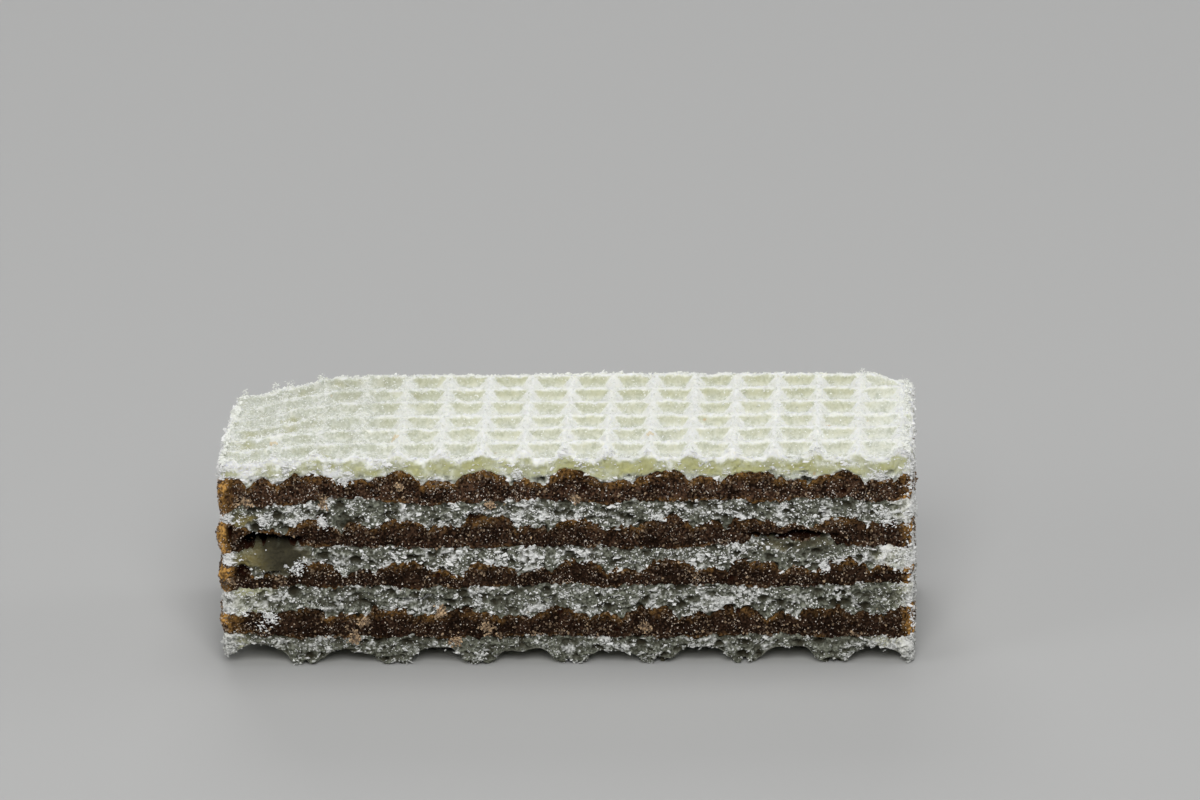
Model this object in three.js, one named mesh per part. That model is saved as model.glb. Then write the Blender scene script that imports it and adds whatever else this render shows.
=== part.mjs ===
// A neapolitan wafer: five baked waffle sheets with four layers of chocolate cream between them.
// Units are millimetres and +Z is up. The origin is the centre of the underside, +X runs along
// the length, and the long cut side at the front faces -Y.

import * as THREE from 'three';

// Overall size, and the clear gap between one layer and the next
const LENGTH = 49;
const DEPTH = 17;
const LAYER_GAP = 0.1;

// Ribs on the upper face: a square grid of ridges with sharp crests around shallow pits
const RIB_PITCH = 2.96;
const RIB_HEIGHT = 0.71;
const RIB_HALF_WIDTH = 0.65;
const RIB_SHIFT_X = 0.03;
const RIB_SHIFT_Y = -0.875;

// Pockets baked into the underside of every sheet, with level lands between them
const POCKET_PITCH = 6.25;
const POCKET_FLOOR = 2.4;
const POCKET_WALL = 0.75;
const POCKET_SHIFT_Y = -0.95;

// Sheets from the bottom up: the height of the lands under the sheet, the depth of its pockets,
// the place of its pockets along the length, and the height of its upper face
const SHEETS = [
  { land: 0, pocket: 0.85, shift: 3.14, top: 2.06 },
  { land: 3.42, pocket: 0.76, shift: -0.45, top: 5.91 },
  { land: 6.82, pocket: 0.9, shift: 0.85, top: 8.85 },
  { land: 10.05, pocket: 0.87, shift: 0.75, top: 12.31 },
  { land: 13.58, pocket: 0.83, shift: 0.5, top: 15.51 },
];
const TOP_SHEET = SHEETS.length - 1;
const HEIGHT = SHEETS[TOP_SHEET].top + RIB_HEIGHT;

// One end was squeezed in cutting: its top sinks, most at the back corner, and its underside lifts
const SINK_START_X = -16;
const LIFT_START_X = -19;
const FRONT_SINK = 0.5;
const BACK_SINK = 1.6;
const END_LIFT = 0.7;

// Slow waves in the heights of the inner layers
const WAVE_HEIGHT = 0.09;
const WAVE_LENGTH = 13;
const WAVE_PHASE_STEP = 2.1;

// Frayed sides: how far in the cut edges may stand, and the level margin that they are cut from
const MARGIN = 0.6;
const CRUMB_FRAY = 0.34;
const CRUST_FRAY = 0.2;
const CREAM_FRAY = 0.26;
const CREAM_INSET = 0.1;
const CORNER_INSET = 0.16;

// Grids: the spacing on level faces, the least distance between two lines, and what counts as equal
const PLAIN_PITCH = 6;
const CLOSEST_LINES = 0.3;
const EQUAL = 1e-6;

// Baked dough and chocolate cream
const DOUGH_COLOUR = 0xe6e4c6;
const CREAM_COLOUR = 0x5d3a26;
const DOUGH_ROUGHNESS = 0.85;
const CREAM_ROUGHNESS = 0.7;

const HALF_LENGTH = LENGTH / 2;
const HALF_DEPTH = DEPTH / 2;
const { clamp, smoothstep, lerp } = THREE.MathUtils;

// A repeatable stream of numbers from 0 to 1
function seededRandom(seed) {
  let state = seed;
  return () => {
    state = (state + 0x6d2b79f5) | 0;
    let mixed = Math.imul(state ^ (state >>> 15), 1 | state);
    mixed = (mixed + Math.imul(mixed ^ (mixed >>> 7), 61 | mixed)) ^ mixed;
    return ((mixed ^ (mixed >>> 14)) >>> 0) / 2 ** 32;
  };
}

// Distance from u to the nearest line of a repeated pattern
function toNearestLine(u, shift, pitch) {
  const steps = (u - shift) / pitch;
  return Math.abs(steps - Math.round(steps)) * pitch;
}

// Height of the ribs above the pit floors
function ribHeight(x, y) {
  const nearest = Math.min(
    toNearestLine(x, RIB_SHIFT_X, RIB_PITCH),
    toNearestLine(y, RIB_SHIFT_Y, RIB_PITCH),
  );
  return RIB_HEIGHT * clamp(1 - nearest / RIB_HALF_WIDTH, 0, 1);
}

// How far a pocket rises at a distance from its middle: 1 over its floor and 0 on the land
function pocketShare(u, shift) {
  const fromMiddle = toNearestLine(u, shift, POCKET_PITCH);
  return clamp(1 - (fromMiddle - POCKET_FLOOR / 2) / POCKET_WALL, 0, 1);
}

function pocketHeight(sheet, x, y) {
  return sheet.pocket * Math.min(pocketShare(x, sheet.shift), pocketShare(y, POCKET_SHIFT_Y));
}

// A height in the stack after the squeezed end has settled
function settle(x, y, z) {
  const sunk = 1 - smoothstep(x, -HALF_LENGTH, SINK_START_X);
  const lifted = 1 - smoothstep(x, -HALF_LENGTH, LIFT_START_X);
  const sink = lerp(FRONT_SINK, BACK_SINK, smoothstep(y, -HALF_DEPTH, HALF_DEPTH));
  const upward = clamp(z / HEIGHT, 0, 1);
  return z - sink * sunk * upward ** 3 + END_LIFT * lifted * (1 - upward) ** 4;
}

// The slow wave that both faces at one boundary inside the stack share
function wave(x, y, boundary) {
  const phase = boundary * WAVE_PHASE_STEP;
  const along = Math.sin((2 * Math.PI * x) / WAVE_LENGTH + phase);
  const across = Math.cos((2 * Math.PI * y) / WAVE_LENGTH + 2 * phase);
  return WAVE_HEIGHT * along * across;
}

// The underside of sheet k. The lowest one is level, as the wafer stands on it.
function undersideHeight(k, x, y) {
  const sheet = SHEETS[k];
  const waviness = k === 0 ? 0 : wave(x, y, 2 * k);
  return settle(x, y, sheet.land + pocketHeight(sheet, x, y) + waviness);
}

// The upper face of sheet k, with ribs where it is the outer face
function upperHeight(k, x, y) {
  const relief = k === TOP_SHEET ? ribHeight(x, y) : wave(x, y, 2 * k + 1);
  return settle(x, y, SHEETS[k].top + relief);
}

// Grid lines across a face: its edges, the margin inside each edge, and every line at which a
// repeated pattern bends
function gridLines(half, pitch, shift, bends) {
  const limit = half - MARGIN - CLOSEST_LINES;
  const repeats = Math.ceil((2 * half) / pitch);
  const lines = [];
  for (let n = -repeats; n <= repeats; n += 1) {
    for (const bend of bends) {
      const line = shift + n * pitch + bend;
      if (Math.abs(line) < limit) lines.push(line);
    }
  }
  lines.sort((a, b) => a - b);
  return [-half, MARGIN - half, ...lines, half - MARGIN, half];
}

function ribGrid() {
  const bends = [-RIB_HALF_WIDTH, 0, RIB_HALF_WIDTH];
  const xs = gridLines(HALF_LENGTH, RIB_PITCH, RIB_SHIFT_X, bends);
  const ys = gridLines(HALF_DEPTH, RIB_PITCH, RIB_SHIFT_Y, bends);
  return { xs, ys };
}

function pocketGrid(k) {
  const edge = POCKET_FLOOR / 2;
  const foot = edge + POCKET_WALL;
  const bends = [-foot, -edge, edge, foot];
  const xs = gridLines(HALF_LENGTH, POCKET_PITCH, SHEETS[k].shift, bends);
  const ys = gridLines(HALF_DEPTH, POCKET_PITCH, POCKET_SHIFT_Y, bends);
  return { xs, ys };
}

function plainGrid() {
  const xs = gridLines(HALF_LENGTH, PLAIN_PITCH, 0, [0]);
  const ys = gridLines(HALF_DEPTH, PLAIN_PITCH, 0, [0]);
  return { xs, ys };
}

// The cells of a grid's edge as [column, row], anticlockwise from the front left corner
function edgeCells({ xs, ys }) {
  const lastX = xs.length - 1;
  const lastY = ys.length - 1;
  const front = xs.slice(0, lastX).map((_, i) => [i, 0]);
  const right = ys.slice(0, lastY).map((_, j) => [lastX, j]);
  const back = xs.slice(0, lastX).map((_, i) => [lastX - i, lastY]);
  const left = ys.slice(0, lastY).map((_, j) => [0, lastY - j]);
  return [...front, ...right, ...back, ...left];
}

// How far round the edge a point is, anticlockwise from the front left corner
function wayRound(x, y) {
  if (y <= EQUAL - HALF_DEPTH) return x + HALF_LENGTH;
  if (x >= HALF_LENGTH - EQUAL) return LENGTH + y + HALF_DEPTH;
  if (y >= HALF_DEPTH - EQUAL) return LENGTH + DEPTH + HALF_LENGTH - x;
  return 2 * LENGTH + DEPTH + HALF_DEPTH - y;
}

// One layer as it grows: a lower face, a ring of crags round its sides, and an upper face
class Layer {
  constructor(seed) {
    this.random = seededRandom(seed);
    this.positions = [];
    this.triangles = [];
  }

  addVertex(x, y, z) {
    this.positions.push(x, y, z);
    return this.positions.length / 3 - 1;
  }

  // A point of the cut edge, set in by a random share of the fray, and a little more at a corner
  addEdgeVertex(x, y, z, inset, fray) {
    const onEnd = HALF_LENGTH - Math.abs(x) < EQUAL;
    const onSide = HALF_DEPTH - Math.abs(y) < EQUAL;
    const corner = onEnd && onSide ? CORNER_INSET : 0;
    const depth = inset + corner + fray * this.random();
    const movedX = onEnd ? x - depth * Math.sign(x) : x;
    const movedY = onSide ? y - depth * Math.sign(y) : y;
    return this.addVertex(movedX, movedY, z);
  }

  // A face over a grid, and its edge as a ring. The outermost lines take the height of the next
  // ones in, so the margin is level outwards and a frayed edge never reaches the next layer.
  addFace(grid, heightAt, facesUp, inset, fray) {
    const { xs, ys } = grid;
    const lastX = xs.length - 1;
    const lastY = ys.length - 1;
    const heights = ys.map((_, j) => xs.map((__, i) => (
      heightAt(xs[clamp(i, 1, lastX - 1)], ys[clamp(j, 1, lastY - 1)])
    )));
    const numbers = ys.map((y, j) => xs.map((x, i) => {
      const onEdge = i === 0 || j === 0 || i === lastX || j === lastY;
      const z = heights[j][i];
      return onEdge ? this.addEdgeVertex(x, y, z, inset, fray) : this.addVertex(x, y, z);
    }));
    for (let j = 0; j < lastY; j += 1) {
      for (let i = 0; i < lastX; i += 1) this.addCell(numbers, heights, i, j, facesUp);
    }
    return edgeCells(grid).map(([i, j]) => ({
      x: xs[i], y: ys[j], z: heights[j][i], number: numbers[j][i], way: wayRound(xs[i], ys[j]),
    }));
  }

  // A cell as two triangles, split along its steeper diagonal, where ribs and pockets bend
  addCell(numbers, heights, i, j, facesUp) {
    const rising = Math.abs(heights[j][i] - heights[j + 1][i + 1]);
    const falling = Math.abs(heights[j][i + 1] - heights[j + 1][i]);
    const a = numbers[j][i];
    const b = numbers[j][i + 1];
    const c = numbers[j + 1][i + 1];
    const d = numbers[j + 1][i];
    const halves = falling > rising + EQUAL ? [[a, b, d], [b, c, d]] : [[a, b, c], [a, c, d]];
    for (const [p, q, r] of halves) this.triangles.push(...(facesUp ? [p, q, r] : [p, r, q]));
  }

  // A ring of crags below the edge ring that it follows or above it, half way to the other face
  addCrags(ring, otherHeightAt, inset, fray) {
    const innerX = HALF_LENGTH - MARGIN;
    const innerY = HALF_DEPTH - MARGIN;
    return ring.map(({ x, y, z, way }) => {
      const other = otherHeightAt(clamp(x, -innerX, innerX), clamp(y, -innerY, innerY));
      const middle = (z + other) / 2;
      return { x, y, z: middle, number: this.addEdgeVertex(x, y, middle, inset, fray), way };
    });
  }

  // The side between two rings, joined point by point in the order that they come round the edge
  addSide(lower, upper) {
    const around = 2 * (LENGTH + DEPTH);
    const wayOf = (ring, n) => (n < ring.length ? ring[n].way : around);
    const numberOf = (ring, n) => ring[n % ring.length].number;
    let low = 0;
    let high = 0;
    while (low < lower.length || high < upper.length) {
      const lowNext = low < lower.length ? wayOf(lower, low + 1) : Infinity;
      const highNext = high < upper.length ? wayOf(upper, high + 1) : Infinity;
      const start = numberOf(lower, low);
      const above = numberOf(upper, high);
      if (lowNext <= highNext) {
        low += 1;
        this.triangles.push(start, numberOf(lower, low), above);
      } else {
        high += 1;
        this.triangles.push(start, numberOf(upper, high), above);
      }
    }
  }

  toMesh(name, material) {
    const geometry = new THREE.BufferGeometry();
    geometry.setAttribute('position', new THREE.Float32BufferAttribute(this.positions, 3));
    geometry.setIndex(this.triangles);
    geometry.computeVertexNormals();
    const mesh = new THREE.Mesh(geometry, material);
    mesh.name = name;
    return mesh;
  }
}

// Sheet k: pockets below, crags round the crumb, and ribs or a level face above
function makeSheet(k) {
  const layer = new Layer(k + 1);
  const clear = k === 0 ? 0 : LAYER_GAP / 2;
  const outer = k === TOP_SHEET;
  const under = (x, y) => undersideHeight(k, x, y) + clear;
  const over = (x, y) => upperHeight(k, x, y) - (outer ? 0 : LAYER_GAP / 2);
  const lower = layer.addFace(pocketGrid(k), under, false, 0, CRUST_FRAY);
  const crags = layer.addCrags(lower, over, 0, CRUMB_FRAY);
  const upper = layer.addFace(outer ? ribGrid() : plainGrid(), over, true, 0, CRUST_FRAY);
  layer.addSide(lower, crags);
  layer.addSide(crags, upper);
  const material = new THREE.MeshStandardMaterial({
    color: DOUGH_COLOUR, roughness: DOUGH_ROUGHNESS, metalness: 0,
  });
  return layer.toMesh(`wafer_sheet_${k + 1}`, material);
}

// Cream layer k, on sheet k: a level face below, and humps above that fill the pockets of sheet k + 1
function makeCream(k) {
  const layer = new Layer(SHEETS.length + k + 1);
  const under = (x, y) => upperHeight(k, x, y) + LAYER_GAP / 2;
  const over = (x, y) => undersideHeight(k + 1, x, y) - LAYER_GAP / 2;
  const lower = layer.addFace(plainGrid(), under, false, CREAM_INSET, CREAM_FRAY);
  const upper = layer.addFace(pocketGrid(k + 1), over, true, CREAM_INSET, CREAM_FRAY);
  const crags = layer.addCrags(upper, under, CREAM_INSET / 2, CREAM_FRAY);
  layer.addSide(lower, crags);
  layer.addSide(crags, upper);
  const material = new THREE.MeshStandardMaterial({
    color: CREAM_COLOUR, roughness: CREAM_ROUGHNESS, metalness: 0,
  });
  return layer.toMesh(`cream_layer_${k + 1}`, material);
}

const wafer = new THREE.Group();
for (let k = 0; k < SHEETS.length; k += 1) wafer.add(makeSheet(k));
for (let k = 0; k < TOP_SHEET; k += 1) wafer.add(makeCream(k));

export default wafer;
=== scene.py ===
# %% [markdown]
# # A neapolitan wafer in Blender
# A neapolitan wafer is a stack of five thin baked sheets with chocolate cream between them, cut by
# a knife so that every layer shows on every side. The solids already have its sizes. Here each of
# them is replaced by a much finer skin of the same form, because the eye knows a wafer by its
# crumb: torn bubbles, flakes and sugar. Lengths on the wafer are in millimetres until a mesh is
# made, and the floor and the lamps are in metres, as everything is in Blender.

# %% Load the solids as a fixed frame
import itertools
import math

import bpy
import numpy as np
from mathutils import Matrix, Vector


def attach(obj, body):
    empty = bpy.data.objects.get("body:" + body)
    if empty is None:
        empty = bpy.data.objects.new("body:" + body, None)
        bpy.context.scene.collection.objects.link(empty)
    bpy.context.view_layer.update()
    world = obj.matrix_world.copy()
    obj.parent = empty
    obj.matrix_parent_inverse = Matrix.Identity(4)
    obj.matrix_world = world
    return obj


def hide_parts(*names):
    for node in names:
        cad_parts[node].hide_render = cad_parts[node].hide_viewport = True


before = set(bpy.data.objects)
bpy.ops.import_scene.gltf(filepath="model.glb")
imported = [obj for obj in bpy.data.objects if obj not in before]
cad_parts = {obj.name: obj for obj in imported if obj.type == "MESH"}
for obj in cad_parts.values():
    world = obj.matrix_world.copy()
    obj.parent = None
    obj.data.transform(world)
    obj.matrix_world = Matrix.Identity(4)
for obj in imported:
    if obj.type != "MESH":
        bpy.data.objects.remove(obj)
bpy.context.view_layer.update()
MM = 0.001
print("solids:", sorted(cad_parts))

# %% [markdown]
# ## Camera
# The photograph was taken with a long lens from a little above, so that lines hardly converge. A
# camera could be moved by hand until it fits, but here it is placed by the angles under which it
# sees the wafer, round it, above it, and its own tilt, because those can be measured and kept.

# %% Camera
TARGET = Vector((2.237, 0.0, 16.975)) * MM
AZIMUTH = math.radians(2.232)
ELEVATION = math.radians(18.758)
ROLL = math.radians(-1.0175)
DISTANCE = 821.1 * MM
FOCAL_LENGTH = 345.0
CLIP_END = 20.0


def aim_camera():
    """A camera whose axes are worked out from its angles: back points from the target to the lens,
    level and rise are the image's sideways and upward directions before the tilt turns them."""
    back = Vector((
        math.sin(AZIMUTH) * math.cos(ELEVATION),
        -math.cos(AZIMUTH) * math.cos(ELEVATION),
        math.sin(ELEVATION),
    ))
    level = Vector((math.cos(AZIMUTH), math.sin(AZIMUTH), 0.0))
    rise = back.cross(level)
    right = level * math.cos(ROLL) + rise * math.sin(ROLL)
    up = rise * math.cos(ROLL) - level * math.sin(ROLL)
    camera = bpy.data.objects.new("camera", bpy.data.cameras.new("camera"))
    camera.data.lens = FOCAL_LENGTH
    camera.data.clip_end = CLIP_END
    turn = Matrix((right, up, back)).transposed().to_4x4()
    camera.matrix_world = Matrix.Translation(TARGET + back * DISTANCE) @ turn
    bpy.context.scene.collection.objects.link(camera)
    bpy.context.scene.camera = camera
    return camera


camera = aim_camera()
print("camera at", [round(v, 4) for v in camera.matrix_world.translation])

# %% [markdown]
# ## Shader sums written as Python
# A material is a graph of nodes, and graphs are hard to read as code. Two small classes help: Wire
# stands for one socket and turns + - * into Math nodes, and Finish makes any other node from its
# type, its settings and what goes into its sockets.

# %% Wire and Finish
# The Mix node has sockets for several kinds of data with the same names, so those for colours are
# told apart by their numbers
MIX_FACTOR, MIX_FIRST, MIX_SECOND, MIX_RESULT = 0, 6, 7, 2


class Wire:
    """One output socket. Sums of wires and numbers add Math nodes to the tree that it lies in."""

    def __init__(self, finish, socket):
        self.finish = finish
        self.socket = socket

    def sum(self, operation, first, second):
        """The wire out of one Math node."""
        return self.finish.node("ShaderNodeMath", {"operation": operation}, {0: first, 1: second})

    def __add__(self, other):
        return self.sum("ADD", self, other)

    def __sub__(self, other):
        return self.sum("SUBTRACT", self, other)

    def __rsub__(self, other):
        return self.sum("SUBTRACT", other, self)

    def __mul__(self, other):
        return self.sum("MULTIPLY", self, other)

    __radd__ = __add__


class Finish:
    """A material in the making. Its surface is the shader that the material starts with."""

    def __init__(self, name):
        self.material = bpy.data.materials.new(name)
        self.material.use_nodes = True
        self.tree = self.material.node_tree
        self.surface = self.tree.nodes["Principled BSDF"]

    def feed(self, socket, value):
        """Links a wire to a socket, or sets a plain value on it."""
        if isinstance(value, Wire):
            self.tree.links.new(value.socket, socket)
        else:
            socket.default_value = value

    def node(self, kind, settings, sockets, output=0):
        """Any node: its type, its settings, the values or wires of its sockets, and the output."""
        made = self.tree.nodes.new(kind)
        for name, value in settings.items():
            setattr(made, name, value)
        for name, value in sockets.items():
            self.feed(made.inputs[name], value)
        return Wire(self, made.outputs[output])

    def share(self, name):
        """A number that the mesh carries at each vertex."""
        return self.node("ShaderNodeAttribute", {"attribute_name": name}, {}, "Fac")

    def places(self):
        """Where a point of the piece lies, in metres from the origin."""
        return self.node("ShaderNodeTexCoord", {}, {}, "Object")

    def noise(self, size, detail=2.0):
        """Noise from 0 to 1 whose blobs are about that many millimetres across."""
        sockets = {"Vector": self.places(), "Scale": 1 / (size * MM), "Detail": detail}
        return self.node("ShaderNodeTexNoise", {}, sockets, "Fac")

    def between(self, value, low, high):
        """0 where a value is under low, 1 above high, and a smooth step between."""
        sockets = {"Value": value, "From Min": low, "From Max": high}
        return self.node("ShaderNodeMapRange", {"interpolation_type": "SMOOTHSTEP"}, sockets)

    def mix(self, factor, first, second):
        """A colour that goes from the first to the second as the factor goes from 0 to 1."""
        colours = {MIX_FACTOR: factor, MIX_FIRST: first, MIX_SECOND: second}
        return self.node("ShaderNodeMix", {"data_type": "RGBA"}, colours, MIX_RESULT)

    def bump(self, height, strength, depth):
        """A normal from a height of that depth in millimetres."""
        sockets = {"Height": height, "Strength": strength, "Distance": depth * MM}
        return self.node("ShaderNodeBump", {}, sockets, "Normal")

    def set(self, **sockets):
        """Feeds the surface's sockets, named with _ for a blank."""
        for name, value in sockets.items():
            self.feed(self.surface.inputs[name.replace("_", " ")], value)
        return self.material


trial = Finish("trial")
inverted = 1 - trial.noise(1.0) * 0.5
print("a trial sum takes", len(trial.tree.nodes), "nodes, the last to", inverted.socket.node.operation)
bpy.data.materials.remove(trial.material)

# %% [markdown]
# ## Floor and light
# The wafer stands on a plain pale floor. Its top is in bright soft light and its long cut side in
# half shade. A picture of a studio round the scene could light it, but lamps can be set one by one:
# a soft one above for the top, a stronger one in front for the cut side, and weaker ones beside and
# behind it, which give the ends their bright rims and keep the back from going black.

# %% Floor and light
FLOOR_HALF = 4.0
FLOOR_DROP = 0.00002
FLOOR_COLOUR = (0.50, 0.50, 0.49, 1.0)
FLOOR_ROUGHNESS = 0.8
WORLD_GREY = (0.9, 0.92, 1.0, 1.0)
WORLD_STRENGTH = 0.10

# Each lamp: its name, its place and its width in metres, and its power in watts
LAMPS = (
    ("key_lamp", (0.03, 0.08, 0.82), 0.50, 2.0),
    ("left_lamp", (-0.60, -0.32, 0.20), 0.30, 0.8),
    ("right_lamp", (0.75, 0.16, 0.30), 0.35, 0.7),
    ("front_lamp", (0.05, -0.72, 0.60), 0.50, 5.7),
    ("back_lamp", (-0.10, 0.72, 0.40), 0.40, 1.2),
)


def lay_floor():
    """One large square just under the wafer, so that the two never share a plane."""
    corners = [(-FLOOR_HALF, -FLOOR_HALF), (FLOOR_HALF, -FLOOR_HALF),
               (FLOOR_HALF, FLOOR_HALF), (-FLOOR_HALF, FLOOR_HALF)]
    mesh = bpy.data.meshes.new("floor")
    mesh.from_pydata([(x, y, -FLOOR_DROP) for x, y in corners], [], [(0, 1, 2, 3)])
    floor = bpy.data.objects.new("floor", mesh)
    bpy.context.scene.collection.objects.link(floor)
    mesh.materials.append(Finish("floor").set(Base_Color=FLOOR_COLOUR, Roughness=FLOOR_ROUGHNESS))


def hang_lamp(name, place, width, power):
    """A square lamp that looks at the origin."""
    light = bpy.data.lights.new(name, "AREA")
    light.size = width
    light.energy = power
    lamp = bpy.data.objects.new(name, light)
    lamp.location = place
    lamp.rotation_euler = (-Vector(place)).to_track_quat("-Z", "Y").to_euler()
    bpy.context.scene.collection.objects.link(lamp)


lay_floor()
for lamp in LAMPS:
    hang_lamp(*lamp)
world = bpy.data.worlds.new("studio")
world.use_nodes = True
world.node_tree.nodes["Background"].inputs["Color"].default_value = WORLD_GREY
world.node_tree.nodes["Background"].inputs["Strength"].default_value = WORLD_STRENGTH
bpy.context.scene.world = world
bpy.context.scene.view_settings.view_transform = "Standard"
print("lamps:", [lamp[0] for lamp in LAMPS])

# %% [markdown]
# ## Noise in numpy
# Crumb is irregular at every scale. Blender's own textures can only colour it or bump it, but here
# the relief has to be real geometry, so the noise is worked out in numpy for whole arrays of points
# at once. There are two kinds: smooth noise, and bubbles, which are what baking leaves in dough.

# %% Noise
STIR = (0x2C1B3C6D, 0x297A2D39)
PRIMES = (0x8DA6B343, 0xD8163841, 0xCB1AB31F, 0x9E3779B1)


def cell_random(cells, seed):
    """A repeatable number from 0 to 1 for each cell: its three whole numbers and the seed times
    large odd numbers, added up, then stirred by shifts and products that overflow."""
    parts = cells.astype(np.int64).astype(np.uint32)
    mixed = np.full(parts.shape[:-1], (seed * PRIMES[3]) & 0xFFFFFFFF, np.uint32)
    for axis in range(3):
        mixed += parts[..., axis] * np.uint32(PRIMES[axis])
    for factor in STIR:
        mixed ^= mixed >> np.uint32(15)
        mixed *= np.uint32(factor)
    mixed ^= mixed >> np.uint32(16)
    return mixed / 2.0**32


def step(value, low, high):
    """A smooth step: 0 up to low, 1 from high on, and 3 t^2 - 2 t^3 between."""
    t = np.clip((value - low) / (high - low), 0, 1)
    return t * t * (3 - 2 * t)


def noise(points, size, seed):
    """Smooth noise from 0 to 1: random numbers at the corners of cells of that size, blended by
    smooth steps along each axis. The size is one number, or one for each axis."""
    scaled = points / np.asarray(size, float)
    cells = np.floor(scaled)
    weight = step(scaled - cells, 0, 1)
    total = np.zeros(points.shape[:-1])
    for corner in itertools.product((0, 1), repeat=3):
        shares = np.where(corner, weight, 1 - weight).prod(-1)
        total += shares * cell_random(cells + corner, seed)
    return total


def spread(points, size, seed):
    """Smooth noise from -1 to 1."""
    return 2 * noise(points, size, seed) - 1


def unevenness(points, waves):
    """Several noises from -1 to 1 added up. Each wave is its strength, its blobs' size, its seed."""
    return sum(strength * spread(points, size, seed) for strength, size, seed in waves)


def bubbles(points, size, seed):
    """The nearest bubble to each point, with one bubble at a random place in every cell: how far
    its middle is, in cells, and a random number of its own."""
    scaled = points / np.asarray(size, float)
    cells = np.floor(scaled)
    nearest = np.full(points.shape[:-1], np.inf)
    own = np.zeros(points.shape[:-1])
    for offset in itertools.product((-1, 0, 1), repeat=3):
        cell = cells + offset
        middle = np.stack([cell_random(cell, seed + axis) for axis in range(3)], -1)
        away = np.linalg.norm(cell + middle - scaled, axis=-1)
        closer = away < nearest
        nearest = np.where(closer, away, nearest)
        own = np.where(closer, cell_random(cell, seed + 3), own)
    return nearest, own


trial_points = np.random.default_rng(1).uniform(-9, 9, (1000, 3))
trial_noise = noise(trial_points, 1.0, 1)
print("noise runs from", trial_noise.min().round(2), "to", trial_noise.max().round(2))

# %% [markdown]
# ## Heights in the stack
# The layers could be modelled one by one, but then gaps would show where they meet. So every
# boundary between two layers is one height over the plan, which a sheet and the cream on it share.
# The undersides of the sheets have rows of pockets from the baking plate, which the cream below
# fills as humps. The left end was squeezed in cutting, so there the stack sinks.

# %% Sizes of the stack
LENGTH = 49.0
DEPTH = 17.0
HALF = np.array([LENGTH, DEPTH]) / 2

# Sheets from the bottom up: height of the lands below, depth and place of pockets, upper face
SHEETS = (
    {"land": 0.0, "pocket": 0.85, "shift": 3.14, "top": 2.06},
    {"land": 3.42, "pocket": 0.76, "shift": -0.45, "top": 5.91},
    {"land": 6.82, "pocket": 0.90, "shift": 0.85, "top": 8.85},
    {"land": 10.05, "pocket": 0.87, "shift": 0.75, "top": 12.31},
    {"land": 13.58, "pocket": 0.83, "shift": 0.50, "top": 15.51},
)
TOP_SHEET = len(SHEETS) - 1
RIB_HEIGHT = 0.71
HEIGHT = SHEETS[TOP_SHEET]["top"] + RIB_HEIGHT

# Rows of pockets, and the lower swells between them
POCKET_PITCH = 6.25
POCKET_HALF = 1.95
POCKET_SHIFT_Y = -0.95
POCKET_WANDER = ((0.3, 5.0, 11),)
POCKET_UNEVEN = ((0.15, 4.0, 12),)
SWELL_RISE = 0.36
SWELL_HALF = 1.05

# Chips off the lands of the underside: their depth, and the distances between which they fade
SHOULDER_CHIP = 0.35
SHOULDER_FADE = (0.45, 1.2)
NOTCH_CHIP = 0.34
NOTCH_FADE = (0.08, 0.34)
CHIP_REACH = (0.7, 1.5)

# The squeezed end, and slow waves in the inner boundaries, which stay level near the cuts
SINK_START_X = -16.0
LIFT_START_X = -19.0
FRONT_SINK = 0.5
BACK_SINK = 1.6
END_LIFT = 0.7
WAVE_HEIGHT = 0.09
WAVE_LENGTH = 13.0
WAVE_PHASE_STEP = 2.1
MARGIN = 0.6
print("the stack is", round(HEIGHT, 2), "mm tall on a plan of", LENGTH, "by", DEPTH, "mm")

# %% Heights of the boundaries


def to_line(u, shift, pitch):
    """Distance from u to the nearest line of a repeated pattern."""
    steps = (u - shift) / pitch
    return np.abs(steps - np.round(steps)) * pitch


def arch(away, half):
    """A round hump: 1 at its middle, falling as (1 - share^3)^0.8 to 0 at its half width."""
    share = np.clip(away / half, 0, 1)
    return (1 - share**3) ** 0.8


def flat_points(x, y, level):
    """Points of a plan at one made-up level, for noise that only depends on the plan."""
    return np.stack([x, y, np.full(np.shape(x), float(level))], -1)


def pocket_height(k, x, y):
    """How far the underside of sheet k rises over its lands: the lower of two rows of arches, one
    along and one across, whose middles wander a little, with lower swells between them."""
    sheet = SHEETS[k]
    plan = flat_points(x, y, k)
    wander = unevenness(plan, POCKET_WANDER)
    size = 1 + unevenness(plan, POCKET_UNEVEN)
    across = arch(to_line(y, POCKET_SHIFT_Y, POCKET_PITCH), POCKET_HALF)
    along = arch(to_line(x + wander, sheet["shift"], POCKET_PITCH), POCKET_HALF)
    middle = sheet["shift"] + POCKET_PITCH / 2
    swell = arch(to_line(x + wander, middle, POCKET_PITCH), SWELL_HALF) * across
    rise = SWELL_RISE * (0.4 + 1.2 * noise(plan, 3.5, 13)) if k else 0
    return size * (sheet["pocket"] * np.minimum(along, across) + rise * swell)


def chipped_lands(x, y):
    """How far the lands of the underside are broken up near the two long cuts: their shoulders are
    rounded off and a notch splits each of them, both uneven, and none of it reaches far in."""
    beside = to_line(x, SHEETS[0]["shift"] + POCKET_PITCH / 2, POCKET_PITCH)
    shoulders = SHOULDER_CHIP * step(beside, *SHOULDER_FADE)
    notch = NOTCH_CHIP * (1 - step(beside, *NOTCH_FADE))
    uneven = 0.3 + 1.1 * noise(flat_points(x, y, 5), 1.7, 14)
    reach = 1 - step(HALF[1] - np.abs(y), *CHIP_REACH)
    return (shoulders + notch) * uneven * reach


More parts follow.
